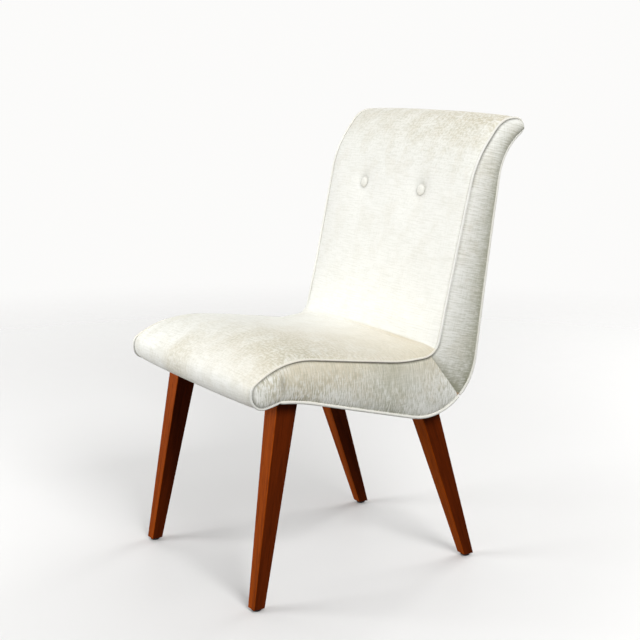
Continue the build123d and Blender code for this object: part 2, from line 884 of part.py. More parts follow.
def rear_band(outer, inner):
    """Cloth between two insets of the rear outline, as wide as the cover."""
    run_count = len(band_corners) - 1
    with BuildSketch(Plane.YZ.offset(-half_width)) as section:
        with BuildLine():
            outside = rounded_line(band_corners, rear_radii, [-outer] * run_count)
            inside = rounded_line(band_corners, rear_radii, [-inner] * run_count)
            Line(outside @ 0, inside @ 0)
            Line(outside @ 1, inside @ 1)
        make_face()
    extrude(section.sketch, amount=2 * half_width)


with BuildPart() as outside_back_panel:
    rear_band(0, cover_thickness)
    split(bisect_by=mitre.offset(seam_gap / 2), keep=Keep.TOP)

with BuildPart() as dust_cover:
    rear_band(cover_thickness - lining_thickness, cover_thickness)
    split(bisect_by=mitre.offset(-seam_gap / 2), keep=Keep.BOTTOM)
    split(bisect_by=Plane.YZ)
    notch_for_legs(soft_gap)
    mirror(about=Plane.YZ)

# Piping on the right side's seams
piping_x = half_width + seam_gap + piping_diameter / 2


def piping_tube(points, radii):
    """Round cord along a side seam."""
    with BuildLine(Plane.YZ.offset(piping_x)) as seam:
        rounded_line(points, radii, [0] * (len(points) - 1))
    route = seam.wire()
    with BuildSketch(Plane(origin=route @ 0, z_dir=route % 0)) as section:
        Circle(piping_diameter / 2)
    sweep(section.sketch, path=route)


with BuildPart() as right_upper_piping:
    piping_tube(front_corners, front_radii)

with BuildPart() as right_bottom_piping:
    piping_tube(band_corners, rear_radii)
    split(bisect_by=mitre.offset(-seam_gap / 2), keep=Keep.BOTTOM)

with BuildPart() as right_rear_piping:
    piping_tube(band_corners, rear_radii)
    split(bisect_by=mitre.offset(seam_gap / 2), keep=Keep.TOP)

# Every piece by its name, with the left side's pieces mirrored from the right's
pieces = {
    "leg_glides": leg_glides,
    "leg_bolts": leg_bolts,
    "leg_inserts": leg_inserts,
    "block_screws": block_screws,
    "frame_dowels": frame_dowels,
    "front_rail": front_rail,
    "rear_rail": rear_rail,
    "lower_back_rail": lower_back_rail,
    "top_rail": top_rail,
    "seat_springs": seat_springs,
    "spring_clips": spring_clips,
    "seat_hessian": seat_hessian,
    "back_webbing": back_webbing,
    "seat_foam": seat_foam,
    "back_foam": back_foam,
    "seat_and_back_cover": seat_and_back_cover,
    "outside_back_panel": outside_back_panel,
    "dust_cover": dust_cover,
    "left_button": left_button,
    "right_button": right_button,
    "button_twines": button_twines,
    "button_toggles": button_toggles,
}
handed = {
    "front_{}_leg": right_legs["front"],
    "rear_{}_leg": right_legs["rear"],
    "front_{}_corner_block": right_blocks["front"],
    "rear_{}_corner_block": right_blocks["rear"],
    "{}_seat_rail": right_seat_rail,
    "{}_back_post": right_back_post,
    "{}_seat_side_panel": right_seat_side_panel,
    "{}_back_side_panel": right_back_side_panel,
    "{}_upper_piping": right_upper_piping,
    "{}_bottom_piping": right_bottom_piping,
    "{}_rear_piping": right_rear_piping,
}
for name, right_piece in handed.items():
    with BuildPart() as left_piece:
        mirror(right_piece.part, about=Plane.YZ)
    pieces[name.format("right")] = right_piece
    pieces[name.format("left")] = left_piece

for name, piece in pieces.items():
    piece.part.label = name
    export_step(piece.part, f"parts/{name}.step")
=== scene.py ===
"""Button back chair: velvet cover, side panels, piping, buttons, walnut legs and a plain stage.

Lengths are metres. x runs across with the right side positive as seen from the front, y from the
front to the back and z up from the floor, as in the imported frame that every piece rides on.
"""

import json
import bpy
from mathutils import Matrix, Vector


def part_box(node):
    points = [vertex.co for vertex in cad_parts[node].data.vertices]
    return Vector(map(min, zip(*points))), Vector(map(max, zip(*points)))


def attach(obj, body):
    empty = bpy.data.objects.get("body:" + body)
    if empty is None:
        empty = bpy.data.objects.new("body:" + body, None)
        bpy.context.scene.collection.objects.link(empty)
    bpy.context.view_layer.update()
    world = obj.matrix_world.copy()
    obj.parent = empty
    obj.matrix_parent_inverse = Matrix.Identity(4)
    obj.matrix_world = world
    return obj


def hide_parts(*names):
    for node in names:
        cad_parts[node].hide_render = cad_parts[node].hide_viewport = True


bl_info = {
    "name": "Button Back Chair",
    "version": (1, 0, 0),
    "blender": (4, 5, 0),
    "location": "View3D > Sidebar > Chair",
    "description": "Dresses the packed chair in velvet, piping, buttons and walnut",
    "category": "Object",
}

import bpy
import numpy as np
from mathutils import Euler, Vector

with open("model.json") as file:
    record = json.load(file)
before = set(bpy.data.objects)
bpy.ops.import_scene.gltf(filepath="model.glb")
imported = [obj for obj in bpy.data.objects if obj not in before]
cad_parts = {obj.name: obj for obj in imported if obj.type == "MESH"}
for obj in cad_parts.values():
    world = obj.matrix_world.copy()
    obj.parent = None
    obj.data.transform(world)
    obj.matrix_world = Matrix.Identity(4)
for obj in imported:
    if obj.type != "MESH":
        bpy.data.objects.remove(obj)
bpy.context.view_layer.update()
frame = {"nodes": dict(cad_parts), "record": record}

MM = 0.001
SIDES = (("right", 1), ("left", -1))

# Side outline at the seams: corners (y, z), the radius that rounds each inner corner, and how far
# the padding rises over each of the front's runs
FRONT_CORNERS = MM * np.array([
    (-222.5, 366.3), (-278.5, 351.8), (-278.5, 397.8), (-211.0, 437.5), (26.5, 404.0),
    (99.8, 406.6), (176.25, 747.2), (233.0, 819.8), (281.0, 819.8), (281.0, 799.5),
])
FRONT_RADII = MM * np.array([23.0, 16.0, 160.0, 300.0, 34.0, 190.0, 50.0, 17.0])
FRONT_CROWNS = MM * np.array([1.0, 8.0, 14.0, 18.0, 14.0, 12.0, 9.0, 7.0, 1.0])
REAR_CORNERS = MM * np.array([
    (281.0, 799.5), (233.9, 761.8), (170.6, 270.2), (-185.1, 362.9), (-222.5, 366.3),
])
REAR_RADII = MM * np.array([110.0, 110.0, 350.0])
OUTLINE_STEP = MM
OUTLINE_SOFTENING = 4 * MM
ARC_POINTS = 32

# Mitre seam of the side panels, and the back's flat run on which the buttons sit
MITRE_POINT = MM * np.array([85.8, 410.0])
MITRE_NORMAL = np.array([0.7804, 0.6252])
CROOK = FRONT_CORNERS[5]
BACK_CROWN = FRONT_CROWNS[5]
BACK_RAKE = np.radians(12.65)
BACK_WAY = np.array([np.sin(BACK_RAKE), np.cos(BACK_RAKE)])
BACK_OUT = np.array([-BACK_WAY[1], BACK_WAY[0]])

# Half width of the body at the seams: along the seat by y, and up the back by z
SEAT_WIDTHS = MM * np.array([(-280, 231.5), (-200, 231.0), (-60, 228.5), (60, 224.0), (110, 223.0)])
BACK_WIDTHS = MM * np.array([(420, 223.0), (520, 223.0), (640, 224.5), (750, 226.5), (820, 227.0)])
SEAT_TO_BACK = MM * np.array([395, 450])

# Unevenness of hand work: how many sines are added, their gain, and a seed for each place
WAVES = 7
WAVE_GAIN = 1.8
SEEDS = {
    "nap": 5, "seat pucker": 11, "back pucker": 12, "panel swell": 21, "panel nap": 31, "cord": 41,
    "outside back": 71, "dust cover": 72,
}

# Cover: grid steps in the open and near the buttons and the crook, its depth, the places over which
# its crown is averaged, the reach of its rolled edges, its tuck under the welt, how much fuller its
# edges are in the crook, and the share of a tuft's depth from which the button holds the cloth
COVER_STEPS = (8.0 * MM, 3.7 * MM)
AXIS_SAMPLES = 4000
COVER_DEPTH = 3 * MM
CROWN_AVERAGE = np.arange(-9, 10) / 4.0
EDGE_ROLL = 9 * MM
TUCK_DEPTH = MM
TUCK_REACH = 3 * MM
CROOK_FILL = 0.45
CROOK_REACH = 60 * MM
HELD_SHARE = 0.97

# Settling of the cover: its cloth, the frames that it takes and how far a point may move
CLOTH = {
    "quality": 6, "mass": 0.35, "tension_stiffness": 22.0, "compression_stiffness": 12.0,
    "shear_stiffness": 6.0, "bending_stiffness": 1.5, "use_pressure": True,
    "uniform_pressure_force": 1.6,
}
SETTLE_FRAMES = 20
SETTLE_CAP = 5 * MM

# Side panels: rows and columns, inset from the seams, depth, share of the bulge, the rounded step at
# the seams, how far from its ends a panel draws in, and its unevenness
PANEL_GRID = (150, 40)
PANEL_INSET = 2.2 * MM
PANEL_DEPTH = 2.5 * MM
PANEL_FILLS = {"seat": 0.6, "back": 1.0}
SEAM_STEP = 3.0 * MM
SEAM_STEP_REACH = 9 * MM
DRAWN_REACH = 45 * MM
FAR_END = 8 * MM
PUCKER_HEIGHT = 0.5 * MM
PUCKER_REACH = 14 * MM
SWELL_WAVE = 0.9 * MM
SWELL_REACH = 20 * MM

# Pucker of the seat panels over the front legs: its middle (y, z), its reach each way, depth and lean
FOLD_AT = MM * np.array([-221.0, 394.0])
FOLD_REACH = MM * np.array([5.5, 16.0])
FOLD_DEPTH = 4.0 * MM
FOLD_LEAN = 0.35

# Welts and pipings: how far they stand out of the side and off the edge, what is left free at the
# two ends of a piping, and how far the bottom piping runs on under the nose
CORD_OUT = 1.0 * MM
WELT_LIFT = -0.2 * MM
PIPING_LIFT = 0.4 * MM
REAR_PIPING_ENDS = (0.6 * MM, 0.3 * MM)
BOTTOM_PIPING_ENDS = (0.3 * MM, 0.0)
BOTTOM_PIPING_TAIL = 2 * MM
CORD_STEP = 4 * MM
CORD_SIDES = 12
CORD_END = MM

# Covered buttons: shares of the radius and heights in mm, from the top of the dome to the flat base
BUTTON_PROFILE = np.array([
    (0.04, 4.7), (0.25, 4.65), (0.50, 4.4), (0.72, 3.95), (0.88, 3.2),
    (0.98, 2.2), (1.0, 1.4), (0.95, 0.5), (0.80, 0.0), (0.05, 0.0),
])
BUTTON_SIDES = 48
BUTTON_PLEATS = 12
PLEAT_DEPTH = 0.02
BUTTON_RIM = 0.8
BUTTON_PROUD = 0.3 * MM

# Outside back and dust cover: grid, inset at the sides, fade at the ends and pull waves of both, and
# then the crown, inset and depth of each, and how far the outside back laps round the heel
REAR_STEP = 7 * MM
REAR_COLUMNS = 61
REAR_SIDE_INSET = 0.5 * MM
REAR_FADE = 30 * MM
PULL_WAVE = 0.7 * MM
OUTSIDE_BACK_CROWN = 2.0 * MM
OUTSIDE_BACK_DEPTH = 1.8 * MM
HEEL_LAP = 60 * MM
DUST_COVER_INSET = 1.0 * MM
DUST_COVER_DEPTH = 1.0 * MM

# Way of the right legs, from the seat to the floor
LEG_WAYS = {"front": (0.0559, -0.1797, -1.0), "rear": (0.0215, 0.3369, -1.0)}

# Nap, painted shade and crush along the cover's run, in shares of the run from under the nose to the
# scroll's tip. A ramp has a start and a span, and a bell has a middle and a reach
CROOK_RUN = (0.3, 0.7)
SEAT_END = 0.52
NOSE_RAMP = (0.165, -0.06)
SEAT_RAMP = (0.14, 0.08)
SCROLL_RAMP = (0.79, 0.10)
CREST_BELL = (0.185, 0.065)
# Gains along the seat's run of the sand tone painted as the shade of up-facing cloth
FACING_SHADE_AT = (0.16, 0.30, 0.46)
FACING_SHADE_GAINS = (0.90, 0.68, 1.15)
CRUSH_AT = (0.0, 0.08, 0.18, 0.30, 0.46, 0.50, 0.80, 0.88, 1.0)
CRUSHES = (0.36, 0.44, 0.54, 0.38, 0.18, 0.11, 0.16, 0.38, 0.56)

# Strength of the painted shade line in the seam under the welt, at shares of the same run
SEAM_AT = (0.0, 0.08, 0.15, 0.20, 0.47, 0.53, 0.78, 0.87, 0.95, 1.0)
SEAM_SHADE_DEPTHS = (0.30, 0.50, 0.85, 1.0, 1.0, 0.25, 0.22, 0.90, 0.80, 0.30)

# Sand tone painted as shade by how far the cloth faces up: sharp in the crook and soft elsewhere
SHARP_FACING_SHADE = (0.60, 0.08)
SOFT_FACING_SHADE = (0.40, 0.40)
LEAST_FACING_SHADE = 0.02
SEAT_FACING_SHADE = 0.88
SCROLL_FACING_SHADE = 0.46

# Patches brushed aside on the nose, in shares of the half width
PATCH_RAMP = (-0.38, 0.12)
PATCH_BELL = (-0.20, 0.28)
CORNER_BELL = (0.92, 0.14)

# Nap of the seat panels as ramps, and their painted shade as a bell, over the height z or the depth y
UPPER_LEAN = (342 * MM, 50 * MM)
NOSE_LEAN = (-270 * MM, 60 * MM)
LOWER_CRUSH = (425 * MM, -70 * MM)
NOSE_CRUSH = (-200 * MM, -40 * MM)
DUSKY_BELL = (-4 * MM, 58 * MM)

# Flecks of the velvet: how fine they are along the weft and across it, per metre of cloth
COVER_FLECKS = (185.0, 195.0, 1.0)
PANEL_FLECKS = (85.0, 420.0, 1.0)
OTHER_FLECKS = (95.0, 230.0, 1.0)

# Stage: floor, lamps as place, size and watts, where they point, and the camera
FLOOR_HALF = 6.0
FLOOR_LINES = 33
FLOOR_LEVEL = -0.0002
LAMP_AIM = Vector((0.0, 0.0, 0.45))
LAMPS = {
    "key": ((-1.0, -2.5, 1.00), 1.4, 50.0),
    "top": ((0.3, 0.1, 2.9), 2.2, 6.0),
    "fill": ((2.8, -0.45, 2.35), 1.2, 81.0),
    "side": ((-2.6, -0.4, 1.5), 1.6, 15.0),
    "rear": ((-0.6, 2.7, 1.6), 2.0, 48.0),
}
CAMERA_PLACE = (2.1139, -1.3021, 0.9279)
CAMERA_TURN = np.radians((78.9611, 0.0, 58.4384))
CAMERA_LENS = 76.316
CAMERA_SENSOR = 36.0


# Sizes and colours that a user would change


def length(name, description, default):
    """A length in metres."""
    return bpy.props.FloatProperty(
        name=name, description=description, default=default, unit="LENGTH", subtype="DISTANCE"
    )


def colour(name, description, default):
    """A colour in linear light."""
    return bpy.props.FloatVectorProperty(
        name=name, description=description, default=default, subtype="COLOR", size=3, min=0.0, max=1.0
    )


class ChairShape(bpy.types.PropertyGroup):
    """Sizes of the soft pieces."""

    crown_power: bpy.props.FloatProperty(
        name="Crown power", description="How flat the padding's middle is", default=2.6, min=1.5, max=6.0
    )
    fullness: length("Fullness", "Extra crown of the padding over its foam", 0.0015)
    edge_share: bpy.props.FloatProperty(
        name="Edge share", description="Part of the crown that rises close to the side seams",
        default=0.38, min=0.0, max=1.0, subtype="FACTOR",
    )
    tuft_depth: length("Tuft depth", "Depth of the buttons under the padding", 0.0062)
    tuft_radius: length("Tuft radius", "Reach of the pull around each button", 0.044)
    button_diameter: length("Button diameter", "Covered button", 0.022)
    button_spacing: length("Button spacing", "Between the two buttons", 0.188)
    button_rise: length("Button rise", "Along the back from the crook's corner", 0.285)
    panel_bulge: length("Panel bulge", "How far the side panels' padding stands out", 0.0115)
    welt_diameter: length("Welt diameter", "Self welt along the upper seam", 0.0046)
    piping_diameter: length("Piping diameter", "Piping of the lower and rear edges", 0.0060)


class ChairFinish(bpy.types.PropertyGroup):
    """Colours of the finishes."""

    ivory: colour("Ivory", "Velvet where its nap is brushed to the light", (0.905, 0.905, 0.860))
    silver: colour("Silver", "Flecks of velvet that catch the light", (0.930, 0.932, 0.885))
    # Sage is the tone of dark flecks and threads, and also the painted shade that the attribute shade
    # mixes in
    sage: colour("Sage", "Velvet where its nap is brushed away", (0.400, 0.400, 0.295))
    # Sand is painted shade where the cloth faces up, and also the tone of brushed patches and dusty
    # clouds
    sand: colour("Sand", "Velvet of the seat and the scroll, seen along the nap", (0.740, 0.672, 0.530))
    # Seam is painted shade, laid in the seams, the seat panels' fold, the tuft dimples and round the
    # buttons
    seam: colour("Seam", "Velvet deep in the sewn seams", (0.038, 0.033, 0.018))
    # Walnut is the lit wood, and side walnut a darker copy of it painted as shade on the legs' side faces
    walnut: colour("Walnut", "Lit wood of the legs", (0.350, 0.062, 0.003))
    walnut_shaded_side: colour("Side walnut", "Quarter grain on the legs' sides", (0.125, 0.018, 0.002))
    walnut_dark: colour("Dark walnut", "Grain of the legs", (0.075, 0.011, 0.001))
    floor: colour("Floor", "Studio floor", (0.80, 0.797, 0.790))


# Lines and surfaces


def unit(vectors):
    """Vectors divided by their lengths."""
    return vectors / np.linalg.norm(vectors, axis=-1, keepdims=True)


def ramp(value, start, span, least=0.0, most=1.0):
    """Straight rise from 0 at a start to 1 a span further on, held between two limits."""
    return np.clip((value - start) / span, least, most)


def smooth(share):
    """Smooth step of a share s between 0 and 1: s * s * (3 - 2 * s)."""
    return share * share * (3 - 2 * share)


def bell(value, middle, reach, power=2):
    """Bell curve: e to minus a power of the distance from its middle, counted in reaches."""
    return np.exp(-(((value - middle) / reach) ** power))


def dying(distance, reach):
    """Dies away with distance: e to minus the distance, counted in reaches."""
    return np.exp(-distance / reach)


def average_weights(places):
    """Weights of a bell curve, e to minus half the square of each place, which add up to 1."""
    weights = np.exp(-0.5 * places**2)
    return weights / weights.sum()


def lengths_along(line):
    """Distance of each point of a line from its start: the running sum of the steps."""
    steps = np.linalg.norm(np.diff(line, axis=0), axis=1)
    return np.concatenate([[0.0], np.cumsum(steps)])


def read_along(line, values, at):
    """Values of a line's points, read at distances along the line."""
    there = lengths_along(line)
    return np.stack([np.interp(at, there, values[:, k]) for k in range(values.shape[1])], axis=1)


def distance_to(line, place):
    """Distance along a line to the point of it that is nearest to a place."""
    return lengths_along(line)[np.argmin(np.linalg.norm(line - place, axis=1))]


def spaced(line, count):
    """A line's points moved to equal distances along it."""
    return read_along(line, line, np.linspace(0.0, lengths_along(line)[-1], count))


def softened(line, reach):
    """A line averaged with its neighbours by a bell curve, its ends held by reflection."""
    step = lengths_along(line)[-1] / (len(line) - 1)
    half = max(2, int(3 * reach / step))
    weights = average_weights(np.arange(-half, half + 1) * step / reach)
    before = 2 * line[0] - line[half:0:-1]
    after = 2 * line[-1] - line[-2:-half - 2:-1]
    longer = np.concatenate([before, line, after])
    return np.stack([np.convolve(longer[:, k], weights, "valid") for k in range(2)], axis=1)


def outline(corners, radii):
    """Straight runs joined by tangent arcs, at equal steps.

    An arc of radius r leaves its run r * tan(turn / 2) before the corner, and its centre lies r to
    the side of the turn. The whole line is then softened so that padding has no hard change of bend.
    """
    parts = [corners[:1]]
    for before, corner, after, radius in zip(corners, corners[1:], corners[2:], radii):
        into, out = unit(np.array([corner - before, after - corner]))
        turn = np.arctan2(into[0] * out[1] - into[1] * out[0], into @ out)
        start = corner - into * radius * np.tan(abs(turn) / 2)
        centre = start + np.array([-into[1], into[0]]) * radius * np.sign(turn)
        angle = np.linspace(0.0, turn, ARC_POINTS)[:, None]
        spoke = start - centre
        cross = np.array([-spoke[1], spoke[0]])
        parts.append(centre + spoke * np.cos(angle) + cross * np.sin(angle))
    parts.append(corners[-1:])
    line = np.concatenate(parts)
    count = int(lengths_along(line)[-1] / OUTLINE_STEP)
    return softened(spaced(line, count), OUTLINE_SOFTENING)


def outward(line):
    """Unit normals to the left of a side line's direction, which is out of the body."""
    way = unit(np.gradient(line, axis=0))
    return np.stack([-way[:, 1], way[:, 0]], axis=1)


def half_width(place):
    """Half width of the body at places (y, z): the seat's by y, turning into the back's by z."""
    blend = smooth(ramp(place[..., 1], SEAT_TO_BACK[0], np.ptp(SEAT_TO_BACK)))
    seat = np.interp(place[..., 0], *SEAT_WIDTHS.T)
    back = np.interp(place[..., 1], *BACK_WIDTHS.T)
    return seat * (1 - blend) + back * blend


def cut_at_mitre(line, keep_back):
    """The run of a side line on one side of the mitre seam, ended on the seam itself."""
    side = (line - MITRE_POINT) @ MITRE_NORMAL
    kept = line[side > 0] if keep_back else line[side <= 0]
    i = np.flatnonzero(np.diff(np.sign(side)))[-1]
    share = side[i] / (side[i] - side[i + 1])
    meet = line[i] + share * (line[i + 1] - line[i])
    first = np.linalg.norm(kept[0] - meet) < np.linalg.norm(kept[-1] - meet)
    return np.concatenate([[meet], kept] if first else [kept, [meet]])


def uneven(place, seed):
    """Smooth unevenness about between -1 and 1: a sum of sines in fixed, unrelated directions."""
    rng = np.random.default_rng(SEEDS[seed])
    waves = rng.normal(size=(WAVES, place.shape[-1]))
    phases = rng.uniform(0, 2 * np.pi, WAVES)
    return np.sin(place @ waves.T + phases).mean(axis=-1) * WAVE_GAIN


def upward_facing_shade(at):
    """Painted shade along the cover's run: sand where the cloth faces up, ivory where forwards.

    It is a smooth step of the upward part of the cloth's normal, sharp in the crook, between the
    seat and the back, and soft elsewhere.
    """
    along = lengths_along(front_line)
    upward = np.interp(at, along, outward(front_line)[:, 1])
    share = at / along[-1]
    in_crook = (share > CROOK_RUN[0]) & (share < CROOK_RUN[1])
    start, span = (np.where(in_crook, *pair) for pair in zip(SHARP_FACING_SHADE, SOFT_FACING_SHADE))
    most = np.where(share < CROOK_RUN[1], SEAT_FACING_SHADE, SCROLL_FACING_SHADE)
    return LEAST_FACING_SHADE + most * smooth(ramp(upward, start, span))


front_line = outline(FRONT_CORNERS, FRONT_RADII)
rear_line = outline(REAR_CORNERS, REAR_RADII)


# Meshes


def grid(across, along):
    """Pairs (across, along) at the points of a grid, with one row for each value along."""
    return np.stack(np.broadcast_arrays(across[None, :], along[:, None]), axis=-1)


def raised(x, line, normal, rise):
    """Points at x, moved out of a side line (y, z) along its normals by a rise."""
    side = line[:, None, :] + normal[:, None, :] * rise[..., None]
    return np.concatenate([x[..., None], side], axis=-1)


def quads_of(rows, columns, wrap=False):
    """Corner numbers of a grid's faces, row by row; wrap joins the last column to the first."""
    number = np.arange(rows * columns).reshape(rows, columns)
    if wrap:
        number = np.concatenate([number, number[:, :1]], axis=1)
    corners = [number[:-1, :-1], number[1:, :-1], number[1:, 1:], number[:-1, 1:]]
    return np.stack(corners, axis=-1).reshape(-1, 4)


def closed_quads(rows, columns):
    """Faces of a tube of rings whose first and last ring are closed by one face each."""
    number = np.arange(rows * columns).reshape(rows, columns)
    return [*quads_of(rows, columns, wrap=True), number[0], number[-1][::-1]]


def piece_from(name, points, faces, cloth=None, flip=False):
    """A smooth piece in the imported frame, with its cloth coordinates in metres as a UV map."""
    faces = [face[::-1] for face in faces] if flip else list(faces)
    mesh = bpy.data.meshes.new(name)
    mesh.from_pydata(points.reshape(-1, 3).tolist(), [], [list(map(int, face)) for face in faces])
    if cloth is not None:
        layer = mesh.uv_layers.new(name="cloth")
        corner = np.zeros(len(mesh.loops), int)
        mesh.loops.foreach_get("vertex_index", corner)
        layer.data.foreach_set("uv", cloth.reshape(-1, 2)[corner].ravel())
    mesh.shade_smooth()
    mesh.update()
    piece = bpy.data.objects.new(name, mesh)
    bpy.context.scene.collection.objects.link(piece)
    return piece


def mark(piece, **tones):
    """Stores tones between 0 and 1 for a material to read: one for each point, or one for all."""
    count = len(piece.data.vertices)
    for name, values in tones.items():
        attribute = piece.data.attributes.new(name, "FLOAT", "POINT")
        values = np.broadcast_to(np.ravel(np.clip(values, 0, 1)), count)
        attribute.data.foreach_set("value", values.astype(np.float32))


def thicken(piece, depth):
    """Gives cloth its depth inwards and smooths it."""
    if depth:
        wall = piece.modifiers.new("depth", "SOLIDIFY")
        wall.thickness = depth
        wall.offset = -1.0
    rounding = piece.modifiers.new("smooth", "SUBSURF")
    rounding.levels = 1
    rounding.render_levels = 1


def finish_piece(piece, material, slot, *nodes):
    """Gives a piece its finish and its body, and hides the nodes that it stands for."""
    piece.data.materials.append(material)
    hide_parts(*nodes)
    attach(piece, "root")


def settle(piece, sewn):
    """Lets a padded cloth find its shape: pressure lifts it between its sewn points.

    The sewn points stay, the rest moves for some frames, and no point ends further than the cap from
    where it started.
    """
    start = np.zeros(len(piece.data.vertices) * 3, np.float32)
    end = np.zeros_like(start)
    piece.data.vertices.foreach_get("co", start)
    group = piece.vertex_groups.new(name="sewn")
    group.add(np.flatnonzero(sewn).tolist(), 1.0, "REPLACE")
    cloth = piece.modifiers.new("settle", "CLOTH")
    cloth.settings.vertex_group_mass = group.name
    for name, value in CLOTH.items():
        setattr(cloth.settings, name, value)
    cloth.settings.effector_weights.gravity = 0.0
    cloth.collision_settings.use_collision = False
    cloth.point_cache.frame_start = 1
    cloth.point_cache.frame_end = SETTLE_FRAMES
    scene = bpy.context.scene
    for number in range(1, SETTLE_FRAMES + 1):
        scene.frame_set(number)
    moved = piece.evaluated_get(bpy.context.evaluated_depsgraph_get())
    moved.data.vertices.foreach_get("co", end)
    piece.modifiers.remove(cloth)
    piece.vertex_groups.remove(group)
    scene.frame_set(1)
    shift = (end - start).reshape(-1, 3)
    far = np.linalg.norm(shift, axis=1, keepdims=True)
    shift *= np.minimum(1.0, SETTLE_CAP / np.maximum(far, 1e-9))
    piece.data.vertices.foreach_set("co", start + shift.ravel())
    piece.data.update()


# Finishes


class Value:
    """A shader socket whose arithmetic adds Math nodes."""

    def __init__(self, finish, socket):
        self.finish = finish
        self.socket = socket

    def maths(self, operation, first, second):
        return self.finish.node("ShaderNodeMath", {"operation": operation}, {0: first, 1: second})

    def __add__(self, other):
        return self.maths("ADD", self, other)

    def __radd__(self, other):
        return self.maths("ADD", other, self)

    def __sub__(self, other):
        return self.maths("SUBTRACT", self, other)

    def __rsub__(self, other):
        return self.maths("SUBTRACT", other, self)

    def __mul__(self, other):
        return self.maths("MULTIPLY", self, other)

    def __rmul__(self, other):
        return self.maths("MULTIPLY", other, self)


class Finish:
    """The nodes of a material or of the world, added one by one."""

    def __init__(self, owner):
        self.owner = owner
        owner.use_nodes = True
        self.tree = owner.node_tree
        self.tree.nodes.clear()

    def node(self, kind, settings=None, sockets=None, output=0):
        """A node with its settings first, then the values or links of its sockets."""
        made = self.tree.nodes.new(kind)
        for key, setting in (settings or {}).items():
            setattr(made, key, setting)
        for key, value in (sockets or {}).items():
            if isinstance(value, Value):
                self.tree.links.new(value.socket, made.inputs[key])
            else:
                made.inputs[key].default_value = value
        return Value(self, made.outputs[output]) if len(made.outputs) else None

    def noise(self, place, scale, detail=2.0, roughness=0.5):
        """Cloudy noise between 0 and 1."""
        sockets = {"Vector": place, "Scale": scale, "Detail": detail, "Roughness": roughness}
        return self.node("ShaderNodeTexNoise", {}, sockets)

    def stretched(self, place, scale, turn=(0.0, 0.0, 0.0), origin=(0.0, 0.0, 0.0)):
        """Coordinates moved to an origin, turned, and scaled along each axis."""
        moved = self.node("ShaderNodeVectorMath", {"operation": "SUBTRACT"}, {0: place, 1: origin})
        sockets = {"Vector": moved, "Rotation": turn, "Scale": scale}
        return self.node("ShaderNodeMapping", {}, sockets)

    def streaks(self, place, scale, detail=2.0, roughness=0.5):
        """Noise with its own scale along each axis, which draws it out into streaks."""
        return self.noise(self.stretched(place, scale), 1.0, detail, roughness)

    def step(self, value, low, high, start=0.0, end=1.0):
        """Smooth step of a value from one level to another."""
        sockets = {"Value": value, 1: low, 2: high, 3: start, 4: end}
        return self.node("ShaderNodeMapRange", {"interpolation_type": "SMOOTHSTEP"}, sockets)

    def mix(self, share, first, second):
        """Two colours mixed by a share."""
        colours = [c if isinstance(c, Value) else (*c, 1.0) for c in (first, second)]
        sockets = {0: share, 6: colours[0], 7: colours[1]}
        return self.node("ShaderNodeMix", {"data_type": "RGBA"}, sockets, 2)

    def relief(self, height, distance, strength):
        """Bump normals from a height between 0 and 1."""
        sockets = {"Height": height, "Distance": distance, "Strength": strength}
        return self.node("ShaderNodeBump", {}, sockets)

    def surface(self, sockets):
        """Ends a material in one principled surface."""
        shader = self.node("ShaderNodeBsdfPrincipled", {}, sockets)
        self.node("ShaderNodeOutputMaterial", {}, {"Surface": shader})
        return self.owner


def toned(tone, share):
    """A colour times a share, which darkens or lightens it."""
    return tuple(share * part for part in tone)


def velvet(name, colours, lines, fleck=OTHER_FLECKS, strength=1.0, sheen=0.2):
    """Crushed velvet on cloth coordinates: u along the weft, v across it.

    The attribute nap leans the tone from ivory towards sand, in part as painted shade of cloth that
    faces up, and the attribute shade paints shade towards sage. As far as the attribute crush says,
    clouds turn dusty or silver, and short flecks turn silver or dark. Weft and warp threads run over
    all of it, showing more where shade is painted, and the attribute seam paints shade into the cloth
    in seams and dimples.
    """
    finish = Finish(bpy.data.materials.new(name))
    place = finish.node("ShaderNodeUVMap", {"uv_map": "cloth"})
    nap, shade, crush, seam = (
        finish.node("ShaderNodeAttribute", {"attribute_name": key}, output="Fac")
        for key in ("nap", "shade", "crush", "seam")
    )
    clouds = finish.streaks(place, (24.0, 20.0, 1.0), 6.0, 0.62)
    flecks = finish.streaks(place, fleck, 3.0, 0.60)
    weft = finish.streaks(place, (26.0, 430.0, 1.0), 3.0, 0.75)
    warp = finish.streaks(place, (520.0, 30.0, 1.0), 2.0, 0.6)
    threads = weft * 0.76 + warp * 0.24
    dusty = tuple(0.3 * a + 0.7 * b for a, b in zip(colours.sage, colours.sand))
    # Layers: sand is partly painted shade, and the shade layer's sage and the seam colour are painted
    # shade
    layers = (
        (nap, colours.sand),
        (shade, colours.sage),
        (finish.step(clouds, 0.48, 0.60) * crush * 0.6, dusty),
        (finish.step(clouds, 0.49, 0.40) * crush * 0.6, colours.silver),
        (finish.step(flecks, 0.49, 0.56) * crush * (0.9 * strength), colours.silver),
        (finish.step(flecks, 0.465, 0.395) * crush * (0.55 * strength**2), colours.sage),
        (finish.step(threads, 0.44, 0.61) * (shade + 0.5) * lines, colours.sage),
        (seam, colours.seam),
    )
    tone = colours.ivory
    for share, layer in layers:
        tone = finish.mix(share, tone, layer)
    return finish.surface({
        "Base Color": tone,
        "Roughness": 0.62 + threads * 0.25,
        "Specular IOR Level": 0.25,
        "Sheen Weight": sheen,
        "Sheen Roughness": 0.35,
        "Sheen Tint": (1.0, 0.99, 0.95, 1.0),
        "Normal": finish.relief(threads * 0.7 + flecks * 0.3, 0.6 * MM, 0.5),
    })


